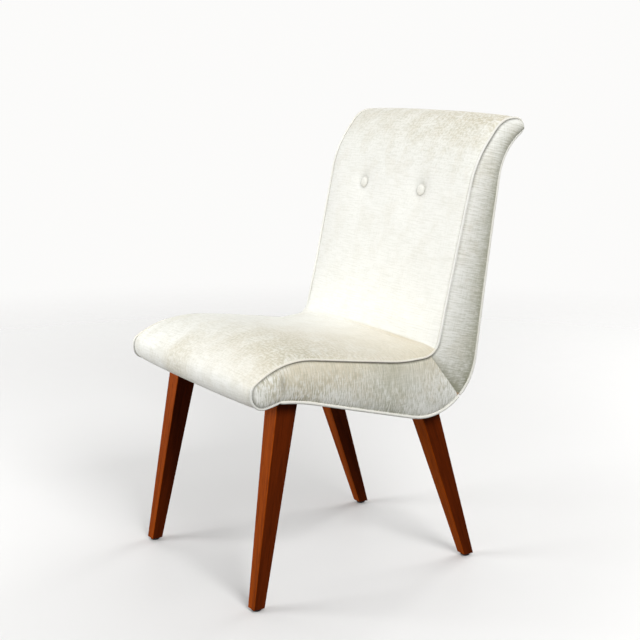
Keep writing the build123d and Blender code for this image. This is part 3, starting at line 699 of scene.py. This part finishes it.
def walnut(name, colours, origin, way):
    """Satin walnut with grain along a leg: faint figure, fine streaks and short dark pores.

    The front and rear faces show the lit figure, and the side faces a darker copy with darker grain as
    painted shade. The eased edges between them get a paler painted highlight.
    """
    finish = Finish(bpy.data.materials.new(name))
    place = finish.node("ShaderNodeTexCoord", output="Object")
    facing = finish.node("ShaderNodeTexCoord", output="Normal")
    facing_x = finish.node("ShaderNodeSeparateXYZ", {}, {0: facing}, "X")
    sideways = facing_x * facing_x
    turn = Vector(way).rotation_difference(Vector((0, 0, 1))).to_euler()
    along = finish.stretched(place, (1.0, 1.0, 1.0), tuple(turn), origin)
    figure = finish.streaks(along, (60.0, 60.0, 4.0), 4.0, 0.6)
    streak = finish.streaks(along, (420.0, 420.0, 9.0), 3.0, 0.6)
    pores = finish.step(finish.streaks(along, (1300.0, 1300.0, 40.0), 1.0), 0.58, 0.74)
    grain = finish.step(figure * 0.45 + streak * 0.55, 0.38, 0.70) * 0.75
    lit = finish.mix(grain, colours.walnut, colours.walnut_dark)
    # Painted shade: the side faces take a darker copy of the wood
    quarter = finish.mix(grain, colours.walnut_shaded_side, toned(colours.walnut_dark, 0.6))
    tone = finish.mix(finish.step(sideways, 0.35, 0.65), lit, quarter)
    # Painted highlight along the eased edges between the front and side faces
    edge_highlight = finish.step(sideways, 0.06, 0.35) * finish.step(sideways, 0.94, 0.65)
    tone = finish.mix(edge_highlight * 0.35, tone, toned(colours.walnut, 1.3))
    tone = finish.mix(pores * 0.5, tone, toned(colours.walnut_dark, 0.5))
    return finish.surface({
        "Base Color": tone,
        "Roughness": 0.38 + pores * 0.2 + streak * 0.1,
        "Specular IOR Level": 0.03,
        "Normal": finish.relief(1.0 - pores, 0.3 * MM, 0.3),
    })


def plain(name, base, roughness, metallic=0.0, speck=60.0, relief=0.4 * MM):
    """A simple finish with mottled colour, roughness and a light relief."""
    finish = Finish(bpy.data.materials.new(name))
    place = finish.node("ShaderNodeTexCoord", output="Object")
    mottle = finish.noise(place, speck, 3.0, 0.6)
    fine = finish.noise(place, speck * 14.0, 2.0, 0.6)
    return finish.surface({
        "Base Color": finish.mix(mottle * 0.7 + fine * 0.3, base, toned(base, 0.76)),
        "Roughness": roughness + (mottle - 0.5) * 0.2,
        "Metallic": metallic,
        "Normal": finish.relief(fine, relief, 0.4),
    })


def lining(name):
    """Black spun lining: matted short fibres with a faint grey bloom."""
    finish = Finish(bpy.data.materials.new(name))
    place = finish.node("ShaderNodeTexCoord", output="Object")
    fibre = finish.streaks(place, (700.0, 260.0, 260.0), 3.0, 0.7)
    bloom = finish.noise(place, 18.0, 3.0, 0.6)
    tone = finish.mix(fibre * 0.6 + bloom * 0.4, (0.010, 0.010, 0.011), (0.034, 0.034, 0.036))
    return finish.surface({
        "Base Color": tone,
        "Roughness": 0.80 + fibre * 0.15,
        "Normal": finish.relief(fibre, 0.5 * MM, 0.5),
    })


# Operators


def tuft_row(shape):
    """Where the row of buttons crosses the back's flat run (y, z), and the body's half width there."""
    place = CROOK + BACK_WAY * shape.button_rise
    return place, half_width(place)


def tuft_places(shape):
    """Each button's x and its direction outwards, square to the crown's slope at that x.

    The crown at a part t of the half width is crown * (1 - |t| ** power), so its slope is
    crown * power / half width * |t| ** (power - 1).
    """
    _, half = tuft_row(shape)
    out = shape.button_spacing / 2
    slope = BACK_CROWN * shape.crown_power / half * (out / half) ** (shape.crown_power - 1)
    return [(side * out, unit(np.array([side * slope, *BACK_OUT]))) for side in (-1, 1)]


def dense_axis(start, end, coarse, fine, centres, reach):
    """Grid lines between two ends, closer together within reach of some centres.

    The step grows from fine to coarse between half a reach and one and a half reaches from the
    nearest centre. Lines stand at whole counts of the sum of 1 / step.
    """
    at = np.linspace(start, end, AXIS_SAMPLES)
    near = np.min(np.abs(at[:, None] - np.array(centres)), axis=1)
    step = fine + (coarse - fine) * ramp(near / reach, 0.5, 1.0)
    count = np.cumsum(1.0 / step) * (at[1] - at[0])
    count -= count[0]
    lines = np.linspace(0.0, count[-1], int(round(count[-1])) + 1)
    return np.interp(lines, count, at)


class CHAIR_OT_cover(bpy.types.Operator):
    """Sews the inside cover of the seat, back and scroll in one run"""

    bl_idname = "chair.cover"
    bl_label = "Seat and back cover"

    def execute(self, context):
        shape = context.scene.chair_shape
        row, half = tuft_row(shape)
        row_at = distance_to(front_line, row)
        crook_at = distance_to(front_line, CROOK)
        end = lengths_along(front_line)[-1]
        at = dense_axis(0.0, end, *COVER_STEPS, [row_at, crook_at], shape.tuft_radius)
        spots = [spot for spot, _ in tuft_places(shape)]
        across = dense_axis(-half, half, *COVER_STEPS, spots, shape.tuft_radius) / half
        points, depth = self.surface(shape, at, across, row_at, crook_at)
        faces = quads_of(*depth.shape)
        piece = piece_from("velvet_cover", points, faces, grid(half * across, at), flip=True)
        settle(piece, self.sewn(shape, depth))
        # The seam attribute here is painted shade in the tuft dimples round the buttons
        mark(piece, **self.brushing(at, across), seam=0.22 * (depth / shape.tuft_depth) ** 4)
        thicken(piece, COVER_DEPTH)
        finish = velvet("ivory velvet cover", context.scene.chair_finish, 0.32, COVER_FLECKS, 0.80)
        finish_piece(piece, finish, "ivory_velvet", "seat_and_back_cover")
        return {"FINISHED"}

    def surface(self, shape, at, across, row_at, crook_at):
        """Points of the cover: the side line moved out by a crown that falls to the seams.

        The crown's share at a part t of the half width is 1 - |t| ** power, mixed with an
        exponential of the distance to the seam that rolls the edge, most of all in the crook. Around
        each button the cloth dips by the square of the share of the tuft's reach that is left.
        """
        place = read_along(front_line, front_line, at)
        normal = unit(read_along(front_line, outward(front_line), at))
        width = half_width(place)[:, None]
        edge = width * (1 - np.abs(across))
        bow = 1 - np.abs(across) ** shape.crown_power
        roll = 1 - dying(edge, EDGE_ROLL)
        fill = shape.edge_share + CROOK_FILL * bell(at, crook_at, CROOK_REACH)[:, None]
        rise = self.crown(shape, at)[:, None] * (bow + fill * (roll - bow))
        x = width * across
        depth = np.zeros_like(x)
        for spot, _ in tuft_places(shape):
            away = np.hypot(x - spot, at[:, None] - row_at)
            reach = shape.button_diameter / 2 - shape.tuft_radius
            depth = np.maximum(depth, shape.tuft_depth * ramp(away, shape.tuft_radius, reach) ** 2)
        rise = rise - TUCK_DEPTH * dying(edge, TUCK_REACH) - depth
        return raised(x, place, normal, rise), depth

    def crown(self, shape, at):
        """Height of the padding's middle along the run: held over half of each run, then averaged."""
        runs = lengths_along(FRONT_CORNERS) / lengths_along(FRONT_CORNERS)[-1]
        runs = runs * lengths_along(front_line)[-1]
        quarter = np.diff(runs) / 4
        holds = np.stack([runs[:-1] + quarter, runs[1:] - quarter], axis=1).ravel()
        crown = np.interp(at, holds, np.repeat(FRONT_CROWNS + shape.fullness, 2))
        padded = np.pad(crown, len(CROWN_AVERAGE) // 2, "edge")
        return np.convolve(padded, average_weights(CROWN_AVERAGE), "valid")

    def sewn(self, shape, depth):
        """Which points are held: those of the four edges and those under the buttons."""
        sewn = depth > HELD_SHARE * shape.tuft_depth
        sewn[[0, -1], :] = True
        sewn[:, [0, -1]] = True
        return sewn

    def brushing(self, at, across):
        """Lean and crush of the nap, with painted shade, uneven as it was stroked by hand.

        On the nose a patch is swept aside, sharply at its left and softly at its right, with a
        smaller one in the right corner, and the rest is smoother. The sand tone painted as the shade of
        up-facing cloth is strongest to the right and the rear of the seat. Painted shade lies on its
        crest, its two edges and the scroll.
        """
        share = (at / lengths_along(front_line)[-1])[:, None]
        y, z = 9.0 * read_along(front_line, front_line, at).T[:, :, None]
        wave = uneven(np.stack(np.broadcast_arrays(y, z, 2.2 * across), axis=-1), "nap")
        # Sand tone painted as the shade of cloth that faces up
        lean = upward_facing_shade(at)[:, None]
        on_seat = share < SEAT_END
        nose = ramp(share, *NOSE_RAMP)
        seat = ramp(share, *SEAT_RAMP) * on_seat * lean
        scroll = ramp(share, *SCROLL_RAMP)
        crest = bell(share, *CREST_BELL)
        patch = ramp(across + 0.16 * wave, *PATCH_RAMP) * bell(across, *PATCH_BELL)
        patch = patch + 0.35 * bell(across, *CORNER_BELL)
        swept = nose * patch * (1 + 0.5 * wave)
        unswept = nose * (1 - np.clip(patch, 0, 1))
        # Gains of that painted shade: most to the right and the rear of the seat
        to_right = 0.58 + 0.50 * np.tanh((across - 0.15) / 0.35)
        facing_shade_gain = np.where(on_seat, np.interp(share, FACING_SHADE_AT, FACING_SHADE_GAINS) * to_right, 1 + 0.35 * across)
        # Painted shade on the crest, the scroll and the seat's edges, and a darker tone in the swept
        # patch
        shade = 0.17 * swept + 0.14 * scroll * (1 + 0.4 * wave) + 0.25 * crest * (1 + 0.5 * wave)
        return {
            "nap": lean * facing_shade_gain * (1 + 0.35 * wave) * (1 - 0.6 * nose) + 0.58 * swept,
            "shade": shade + 0.16 * seat * np.abs(across) ** 3,
            "crush": np.interp(share, CRUSH_AT, CRUSHES) * (1 + 0.5 * wave) * (1 - 0.35 * unswept),
        }


class CHAIR_OT_side_panels(bpy.types.Operator):
    """Sews the side panels of the seat and the back, which meet at the mitre"""

    bl_idname = "chair.side_panels"
    bl_label = "Side panels"

    def execute(self, context):
        shape = context.scene.chair_shape
        colours = context.scene.chair_finish
        finish = velvet("silvery velvet panels", colours, 0.58, PANEL_FLECKS, sheen=0.15)
        for part, edges in self.edges().items():
            flat = self.ruled(*edges)
            near = self.distances(flat, part)
            half = half_width(flat) - PANEL_DEPTH + self.swell(shape, flat, part, near)
            cloth, tones = self.tones(flat, part, near)
            for name, side in SIDES:
                points = np.concatenate([side * half[..., None], flat], axis=-1)
                faces = quads_of(*PANEL_GRID)
                piece = piece_from(f"{name}_{part}_panel", points, faces, cloth, flip=side < 0)
                mark(piece, **tones)
                thicken(piece, PANEL_DEPTH)
                finish_piece(piece, finish, "ivory_velvet", f"{name}_{part}_side_panel")
        return {"FINISHED"}

    def edges(self):
        """Two long edges of each panel, a little inside the seams and cut at the mitre.

        The seat's are its upper and lower edge, and the back's are its front and rear edge.
        """
        upper = front_line - outward(front_line) * PANEL_INSET
        lower = (rear_line - outward(rear_line) * PANEL_INSET)[::-1]
        nose = np.argmin(upper[:, 0])
        under = np.concatenate([upper[nose::-1], cut_at_mitre(lower, False)])
        return {
            "seat": (cut_at_mitre(upper[nose:], False), under),
            "back": (cut_at_mitre(upper, True), cut_at_mitre(lower, True)),
        }

    def ruled(self, top, low):
        """Side points on straight lines between two edges, at equal shares of each edge."""
        rows, columns = PANEL_GRID
        share = np.linspace(0.0, 1.0, columns)[None, :, None]
        return spaced(top, rows)[:, None, :] * (1 - share) + spaced(low, rows)[:, None, :] * share

    def nearest(self, flat, edge):
        """Distance of each point to the nearest point of an edge, and that point's share of it."""
        away = np.linalg.norm(flat[:, :, None, :] - edge, axis=-1)
        return away.min(axis=-1), away.argmin(axis=-1) / len(edge)

    def distances(self, flat, part):
        """Distances to a panel's rim, welt, second long edge, mitre and far end, and its painted seam
        shade.
        """
        mitre, far = (flat[-1], flat[0]) if part == "seat" else (flat[0], flat[-1])
        rim = np.concatenate([flat[0], flat[-1], flat[:, 0], flat[:, -1]])
        welt, along = self.nearest(flat, front_line[::3])
        return {
            "rim": self.nearest(flat, rim)[0],
            "welt": welt,
            "edge": self.nearest(flat, flat[:, -1])[0],
            "mitre": self.nearest(flat, mitre)[0],
            "far": np.linalg.norm(flat - far[0], axis=-1),
            "seam_shade_depth": np.interp(along, SEAM_AT, SEAM_SHADE_DEPTHS),
        }

    def rounded(self, away, reach, power):
        """Rise from a seam: a quarter ellipse of the distance over its reach, raised to a power."""
        return (1 - np.clip(1 - away / reach, 0, 1) ** 2) ** power

    def swell(self, shape, flat, part, near):
        """How far a panel's padding stands out.

        The padding rises from every seam by a small rounded step, and bows out between the two long
        seams as the parabola 4 * s * (1 - s) of the share s across. The bow draws in towards the
        panel's ends, faint puckers cross the seams, and the seat's dips in its fold.
        """
        rim = near["rim"]
        share = np.linspace(0.0, 1.0, flat.shape[1])[None, :]
        ends = np.minimum(near["mitre"], near["far"] + FAR_END)
        bulge = shape.panel_bulge * PANEL_FILLS[part] * self.rounded(ends, DRAWN_REACH, 0.8)
        swell = self.rounded(rim, SEAM_STEP_REACH, 0.7) * SEAM_STEP
        swell = swell + bulge * (4 * share * (1 - share)) ** 0.9
        pucker = uneven(flat * 95, f"{part} pucker") * dying(rim, PUCKER_REACH)
        swell = swell + PUCKER_HEIGHT * pucker * ramp(rim, 0.0, 4 * MM)
        swell = swell + SWELL_WAVE * uneven(flat * 28, "panel swell") * ramp(rim, 0.0, SWELL_REACH)
        return swell - FOLD_DEPTH * self.fold(flat) if part == "seat" else swell

    def tones(self, flat, part, near):
        """Cloth coordinates of a panel, how its nap lies, and its painted shade.

        The seat's weft stands upright. Its panel is crushed low and at the nose, leans above, and has
        painted shade about its middle and along its lower edge. The back's weft lies across it, and its
        panel has painted shade growing towards its rear edge and the mitre. Both have painted shade in
        their seams, and the seat's in its fold.
        """
        y, z = flat[..., 0], flat[..., 1]
        wave = uneven(flat * 22, "panel nap")
        # Painted shade in the seam under the welt and along the mitre
        seam = near["seam_shade_depth"] * bell(near["welt"], 0.0, 5.4 * MM, 6)
        seam = seam + 0.15 * bell(near["mitre"], 0.0, 2.0 * MM)
        if part == "seat":
            cloth = np.stack([z, y], axis=-1)
            lean = ramp(z, *UPPER_LEAN) * 0.95 * ramp(y, *NOSE_LEAN, least=0.1)
            crush = np.maximum(ramp(z, *LOWER_CRUSH, least=0.15), ramp(y, *NOSE_CRUSH, most=0.9))
            # Painted shade: a little overall, along the lower edge and about the middle
            shade = 0.09 + 0.10 * dying(near["edge"], 12 * MM) + 0.44 * bell(y, *DUSKY_BELL)
            # Painted shade in the crease of the fold
            seam = seam + 0.35 * self.fold(flat)
        else:
            local = flat - CROOK
            cloth = np.stack([local @ BACK_OUT, local @ BACK_WAY], axis=-1)
            lean = 0.05
            crush = 0.34
            share = np.linspace(0.0, 1.0, flat.shape[1])[None, :]
            # Painted shade growing towards the rear edge and the mitre
            shade = 0.30 * dying(near["edge"], 10 * MM) + 0.25 * dying(near["mitre"], 30 * MM)
            shade = shade + 0.92 * share**1.6
        tones = {"nap": lean + 0.15 * wave, "crush": crush * (1 + 0.4 * wave)}
        return cloth, {**tones, "shade": shade, "seam": seam}

    def fold(self, flat):
        """A short upright fold over the front leg: a bell across it times a bell along it."""
        place = (flat - FOLD_AT) / FOLD_REACH
        lean = place[..., 0] + FOLD_LEAN * place[..., 1]
        return np.exp(-(lean**2) - place[..., 1] ** 2)


class CHAIR_OT_piping(bpy.types.Operator):
    """Lays the welts and pipings along the side seams"""

    bl_idname = "chair.piping"
    bl_label = "Welts and piping"

    def execute(self, context):
        shape = context.scene.chair_shape
        finish = velvet("piping velvet", context.scene.chair_finish, 0.15)
        rear = cut_at_mitre(rear_line, True)
        under = cut_at_mitre(rear_line, False)
        tail = under[-1:] + BOTTOM_PIPING_TAIL * unit(under[-1:] - under[-2:-1])
        rear = self.shortened(rear, *REAR_PIPING_ENDS)
        under = self.shortened(np.concatenate([under, tail]), *BOTTOM_PIPING_ENDS)
        runs = {
            "upper_piping": (front_line, shape.welt_diameter, WELT_LIFT),
            "rear_piping": (rear, shape.piping_diameter, PIPING_LIFT),
            "bottom_piping": (under, shape.piping_diameter, PIPING_LIFT),
        }
        for part, (line, diameter, lift) in runs.items():
            for name, side in SIDES:
                points, cloth, faces = self.tube(line, diameter, lift, side)
                piece = piece_from(f"{name}_{part}_cord", points, faces, cloth, flip=side > 0)
                mark(piece, **self.tones(part, cloth, diameter))
                thicken(piece, 0.0)
                finish_piece(piece, finish, "ivory_velvet", f"{name}_{part}")
        return {"FINISHED"}

    def tones(self, part, cloth, diameter):
        """How a cord's nap lies: the welt takes the cover's painted shade, and more on its inner half."""
        if part != "upper_piping":
            return {"nap": 0.15, "crush": 0.10}
        along = cloth[..., 1]
        inward = -np.cos(cloth[..., 0] / (diameter / 2))
        depth = np.interp(along / along.max(), SEAM_AT, SEAM_SHADE_DEPTHS)
        # Painted shade: the cover's facing shade, and on the inner half the seam shade beside it
        return {"nap": 0.55 * upward_facing_shade(along), "crush": 0.10, "seam": depth * ramp(inward, 0.30, 0.35)}

    def shortened(self, line, start, end):
        """A line without a length at each of its ends."""
        there = lengths_along(line)
        return line[(there >= start) & (there <= there[-1] - end)]

    def tube(self, line, diameter, lift, side):
        """A round cord: circles across a side line, rounded off over a millimetre at both ends."""
        line = spaced(line, max(2 * CORD_SIDES, int(lengths_along(line)[-1] / CORD_STEP)))
        normal = outward(line)
        there = lengths_along(line)
        end = ramp(np.minimum(there, there[-1] - there), 0.0, CORD_END)
        radius = diameter / 2 * np.sqrt(np.clip(1 - (1 - end) ** 2, 0.3, 1))
        radius = radius * (1 + 0.025 * uneven(line * 140, "cord"))
        angle = np.linspace(0.0, 2 * np.pi, CORD_SIDES, endpoint=False)
        x = (half_width(line) + CORD_OUT)[:, None] + radius[:, None] * np.sin(angle)
        points = raised(side * x, line + normal * lift, normal, radius[:, None] * np.cos(angle))
        return points, grid(angle * diameter / 2, there), closed_quads(*x.shape)


class CHAIR_OT_buttons(bpy.types.Operator):
    """Covers the two back buttons"""

    bl_idname = "chair.buttons"
    bl_label = "Back buttons"

    def execute(self, context):
        shape = context.scene.chair_shape
        finish = velvet("button velvet", context.scene.chair_finish, 0.35)
        row, half = tuft_row(shape)
        radius = shape.button_diameter / 2
        for name, (spot, out) in zip(("left", "right"), tuft_places(shape)):
            crown = BACK_CROWN * (1 - abs(spot / half) ** shape.crown_power)
            base = np.array([spot, *(row + BACK_OUT * crown)]) - out * (shape.tuft_depth - BUTTON_PROUD)
            points, cloth, faces = self.dome(radius, base, out)
            piece = piece_from(f"{name}_covered_button", points, faces, cloth)
            # Painted shade round the rim, where the button meets the cloth
            rim = ramp(np.linalg.norm(cloth, axis=-1) / radius, BUTTON_RIM, 1 - BUTTON_RIM)
            mark(piece, nap=0.14, crush=0.25, seam=0.26 * rim)
            thicken(piece, 0.0)
            finish_piece(piece, finish, "ivory_velvet", f"{name}_button")
        return {"FINISHED"}

    def dome(self, radius, base, out):
        """A covered button: a profile carried round its axis, gathered into pleats at its rim."""
        share, rise = BUTTON_PROFILE.T[:, :, None]
        angle = np.linspace(0.0, 2 * np.pi, BUTTON_SIDES, endpoint=False)
        ring = radius * share * (1 + PLEAT_DEPTH * np.cos(BUTTON_PLEATS * angle) * (share > BUTTON_RIM))
        cloth = np.stack([ring * np.cos(angle), ring * np.sin(angle)], axis=-1)
        wide = np.cross(np.array([0.0, *BACK_WAY]), out)
        points = base + cloth @ np.array([wide, np.cross(out, wide)]) + MM * rise[..., None] * out
        return points, cloth, closed_quads(*ring.shape)


class CHAIR_OT_rear_cloths(bpy.types.Operator):
    """Stretches the outside back and the dust cover over the rear and the underside"""

    bl_idname = "chair.rear_cloths"
    bl_label = "Outside back and dust cover"

    def execute(self, context):
        finish = velvet("outside back velvet", context.scene.chair_finish, 0.4)
        step = lengths_along(rear_line)[-1] / (len(rear_line) - 1)
        heel = len(cut_at_mitre(rear_line, True)) + int(HEEL_LAP / step)
        points, cloth = self.stretched(rear_line[:heel], 0.0, OUTSIDE_BACK_CROWN, "outside back")
        piece = piece_from("outside_back_cloth", points, quads_of(*points.shape[:2]), cloth, flip=True)
        mark(piece, nap=0.2, crush=0.3)
        thicken(piece, OUTSIDE_BACK_DEPTH)
        finish_piece(piece, finish, "ivory_velvet", "outside_back_panel")
        under = cut_at_mitre(rear_line, False)
        points, cloth = self.stretched(under, DUST_COVER_INSET, 0.0, "dust cover")
        piece = piece_from("dust_cover_cloth", points, quads_of(*points.shape[:2]), cloth, flip=True)
        thicken(piece, DUST_COVER_DEPTH)
        finish_piece(piece, lining("black lining"), "black_lining", "dust_cover")
        return {"FINISHED"}

    def stretched(self, line, inset, crown, seed):
        """Cloth stretched across the body: a side line with a slight crown, and faint pull waves.

        The crown's share at a part t of the half width is 1 - |t| ** 4, and the waves' is 1 - t ** 2.
        Both die away towards the line's ends.
        """
        line = spaced(line, int(lengths_along(line)[-1] / REAR_STEP))
        there = lengths_along(line)
        across = np.linspace(-1.0, 1.0, REAR_COLUMNS)
        half = half_width(line) - REAR_SIDE_INSET
        fade = ramp(np.minimum(there, there[-1] - there), 0.0, REAR_FADE)[:, None]
        rise = crown * (1 - np.abs(across) ** 4) * fade - inset
        waves = uneven(grid(across * 5, there * 16), seed)
        rise = rise + PULL_WAVE * waves * fade * (1 - across**2)
        points = raised(half[:, None] * across, line, outward(line), rise)
        return points, grid(half.mean() * across, there)


class CHAIR_OT_timber(bpy.types.Operator):
    """Finishes the legs and glides, and the frame and padding inside"""

    bl_idname = "chair.timber"
    bl_label = "Legs, frame and padding"

    def execute(self, context):
        colours = context.scene.chair_finish
        nodes = dict(frame["nodes"])
        for end, (x, y, z) in LEG_WAYS.items():
            for name, side in SIDES:
                node = f"{end}_{name}_leg"
                low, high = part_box(node)
                middle = tuple((low + high) / 2)
                wood = walnut(f"{end} {name} walnut", colours, middle, (side * x, y, z))
                self.coat(nodes.pop(node), wood)
        slots = {part["node"]: part["material_slot"] for part in frame["record"]["subparts"]}
        finishes = {
            "glide_plastic": plain("glide plastic", (0.012, 0.011, 0.010), 0.45, speck=90.0),
            "beech": plain("sawn beech", (0.46, 0.29, 0.15), 0.62, speck=40.0),
            "zinc_steel": plain("zinc steel", (0.45, 0.46, 0.47), 0.36, 1.0, speck=120.0),
            "foam": plain("padding foam", (0.78, 0.70, 0.44), 0.95, speck=220.0, relief=MM),
            "hessian": plain("hessian", (0.36, 0.26, 0.13), 0.9, speck=180.0, relief=MM),
            "black_lining": plain("lining under cloth", (0.012, 0.012, 0.012), 0.9),
            "ivory_velvet": plain("velvet under cloth", tuple(colours.ivory), 0.9),
        }
        for node, thing in nodes.items():
            self.coat(thing, finishes[slots[node]])
        return {"FINISHED"}

    def coat(self, thing, finish):
        """Puts one finish on all of a node's slots."""
        thing.data.materials.clear()
        thing.data.materials.append(finish)


class CHAIR_OT_stage(bpy.types.Operator):
    """Sets the pale floor, soft studio light and the camera"""

    bl_idname = "chair.stage"
    bl_label = "Stage, light and camera"

    def execute(self, context):
        scene = context.scene
        scene.view_settings.view_transform = "Standard"
        lines = np.linspace(-FLOOR_HALF, FLOOR_HALF, FLOOR_LINES)
        level = np.full((FLOOR_LINES, FLOOR_LINES, 1), FLOOR_LEVEL)
        points = np.concatenate([grid(lines, lines), level], axis=-1)
        floor = piece_from("studio_floor", points, quads_of(FLOOR_LINES, FLOOR_LINES), flip=True)
        floor.data.materials.append(self.floor_finish(scene.chair_finish))
        scene.world = self.surround()
        for name, (place, size, power) in LAMPS.items():
            scene.collection.objects.link(self.lamp(name, Vector(place), size, power))
        camera = self.camera()
        scene.collection.objects.link(camera)
        scene.camera = camera
        return {"FINISHED"}

    def floor_finish(self, colours):
        """Pale matt floor with a faint cloudy tone, which fades into the surround.

        It is dull as a reflector: all rays but the camera's see a darker tone.
        """
        finish = Finish(bpy.data.materials.new("studio floor"))
        place = finish.node("ShaderNodeTexCoord", output="Object")
        cloud = finish.noise(place, 1.3, 3.0, 0.6)
        pale = finish.mix(cloud, colours.floor, toned(colours.floor, 0.96))
        seen = finish.node("ShaderNodeLightPath", output="Is Camera Ray")
        tone = finish.mix(seen, toned(colours.floor, 0.16), pale)
        away = finish.node("ShaderNodeVectorMath", {"operation": "LENGTH"}, {0: place}, "Value")
        fade = finish.step(away, 0.9, 3.2, 1.0, 0.0)
        return finish.surface({"Base Color": tone, "Roughness": 0.55, "Alpha": fade})

    def surround(self):
        """White surround, even to the camera and in reflections.

        As light it is softer, and grows from the horizon to the zenith.
        """
        finish = Finish(bpy.data.worlds.new("studio"))
        seen = finish.node("ShaderNodeLightPath", output="Is Camera Ray")
        for ray in ("Is Glossy Ray", "Is Transmission Ray"):
            seen = seen.maths("MAXIMUM", seen, finish.node("ShaderNodeLightPath", output=ray))
        way = finish.node("ShaderNodeTexCoord", output="Generated")
        height = finish.node("ShaderNodeSeparateXYZ", {}, {0: way}, "Z")
        softer = finish.node("ShaderNodeMapRange", {}, {"Value": height, 3: 0.09, 4: 0.32})
        strength = finish.node("ShaderNodeMix", {}, {0: seen, 2: softer, 3: 0.97})
        sockets = {"Color": (1.0, 0.995, 0.985, 1.0), "Strength": strength}
        light = finish.node("ShaderNodeBackground", {}, sockets)
        finish.node("ShaderNodeOutputWorld", {}, {"Surface": light})
        return finish.owner

    def lamp(self, name, place, size, power):
        """A square soft lamp aimed at the chair."""
        light = bpy.data.lights.new(name, "AREA")
        light.shape = "SQUARE"
        light.size = size
        light.energy = power
        lamp = bpy.data.objects.new(name, light)
        lamp.location = place
        lamp.rotation_euler = (LAMP_AIM - place).to_track_quat("-Z", "Y").to_euler()
        return lamp

    def camera(self):
        """A camera at the photograph's place, turn and lens."""
        lens = bpy.data.cameras.new("photo")
        lens.lens = CAMERA_LENS
        lens.sensor_width = CAMERA_SENSOR
        camera = bpy.data.objects.new("photo", lens)
        camera.location = CAMERA_PLACE
        camera.rotation_euler = Euler(CAMERA_TURN)
        return camera


class CHAIR_PT_panel(bpy.types.Panel):
    """Lists the chair's pieces"""

    bl_idname = "CHAIR_PT_panel"
    bl_label = "Button back chair"
    bl_space_type = "VIEW_3D"
    bl_region_type = "UI"
    bl_category = "Chair"

    def draw(self, context):
        for operator in OPERATORS:
            self.layout.operator(operator.bl_idname)
        for group in (context.scene.chair_shape, context.scene.chair_finish):
            for name in group.bl_rna.properties.keys():
                if name not in {"rna_type", "name"}:
                    self.layout.prop(group, name)


OPERATORS = (
    CHAIR_OT_stage, CHAIR_OT_cover, CHAIR_OT_side_panels, CHAIR_OT_piping,
    CHAIR_OT_buttons, CHAIR_OT_rear_cloths, CHAIR_OT_timber,
)
CLASSES = (ChairShape, ChairFinish, *OPERATORS, CHAIR_PT_panel)


def register():
    for cls in CLASSES:
        bpy.utils.register_class(cls)
    bpy.types.Scene.chair_shape = bpy.props.PointerProperty(type=ChairShape)
    bpy.types.Scene.chair_finish = bpy.props.PointerProperty(type=ChairFinish)


def unregister():
    del bpy.types.Scene.chair_finish
    del bpy.types.Scene.chair_shape
    for cls in reversed(CLASSES):
        bpy.utils.unregister_class(cls)


def main():
    """Makes every piece in order."""
    register()
    bpy.ops.chair.stage()
    bpy.ops.chair.cover()
    bpy.ops.chair.side_panels()
    bpy.ops.chair.piping()
    bpy.ops.chair.buttons()
    bpy.ops.chair.rear_cloths()
    bpy.ops.chair.timber()


if __name__ == "__main__":
    main()
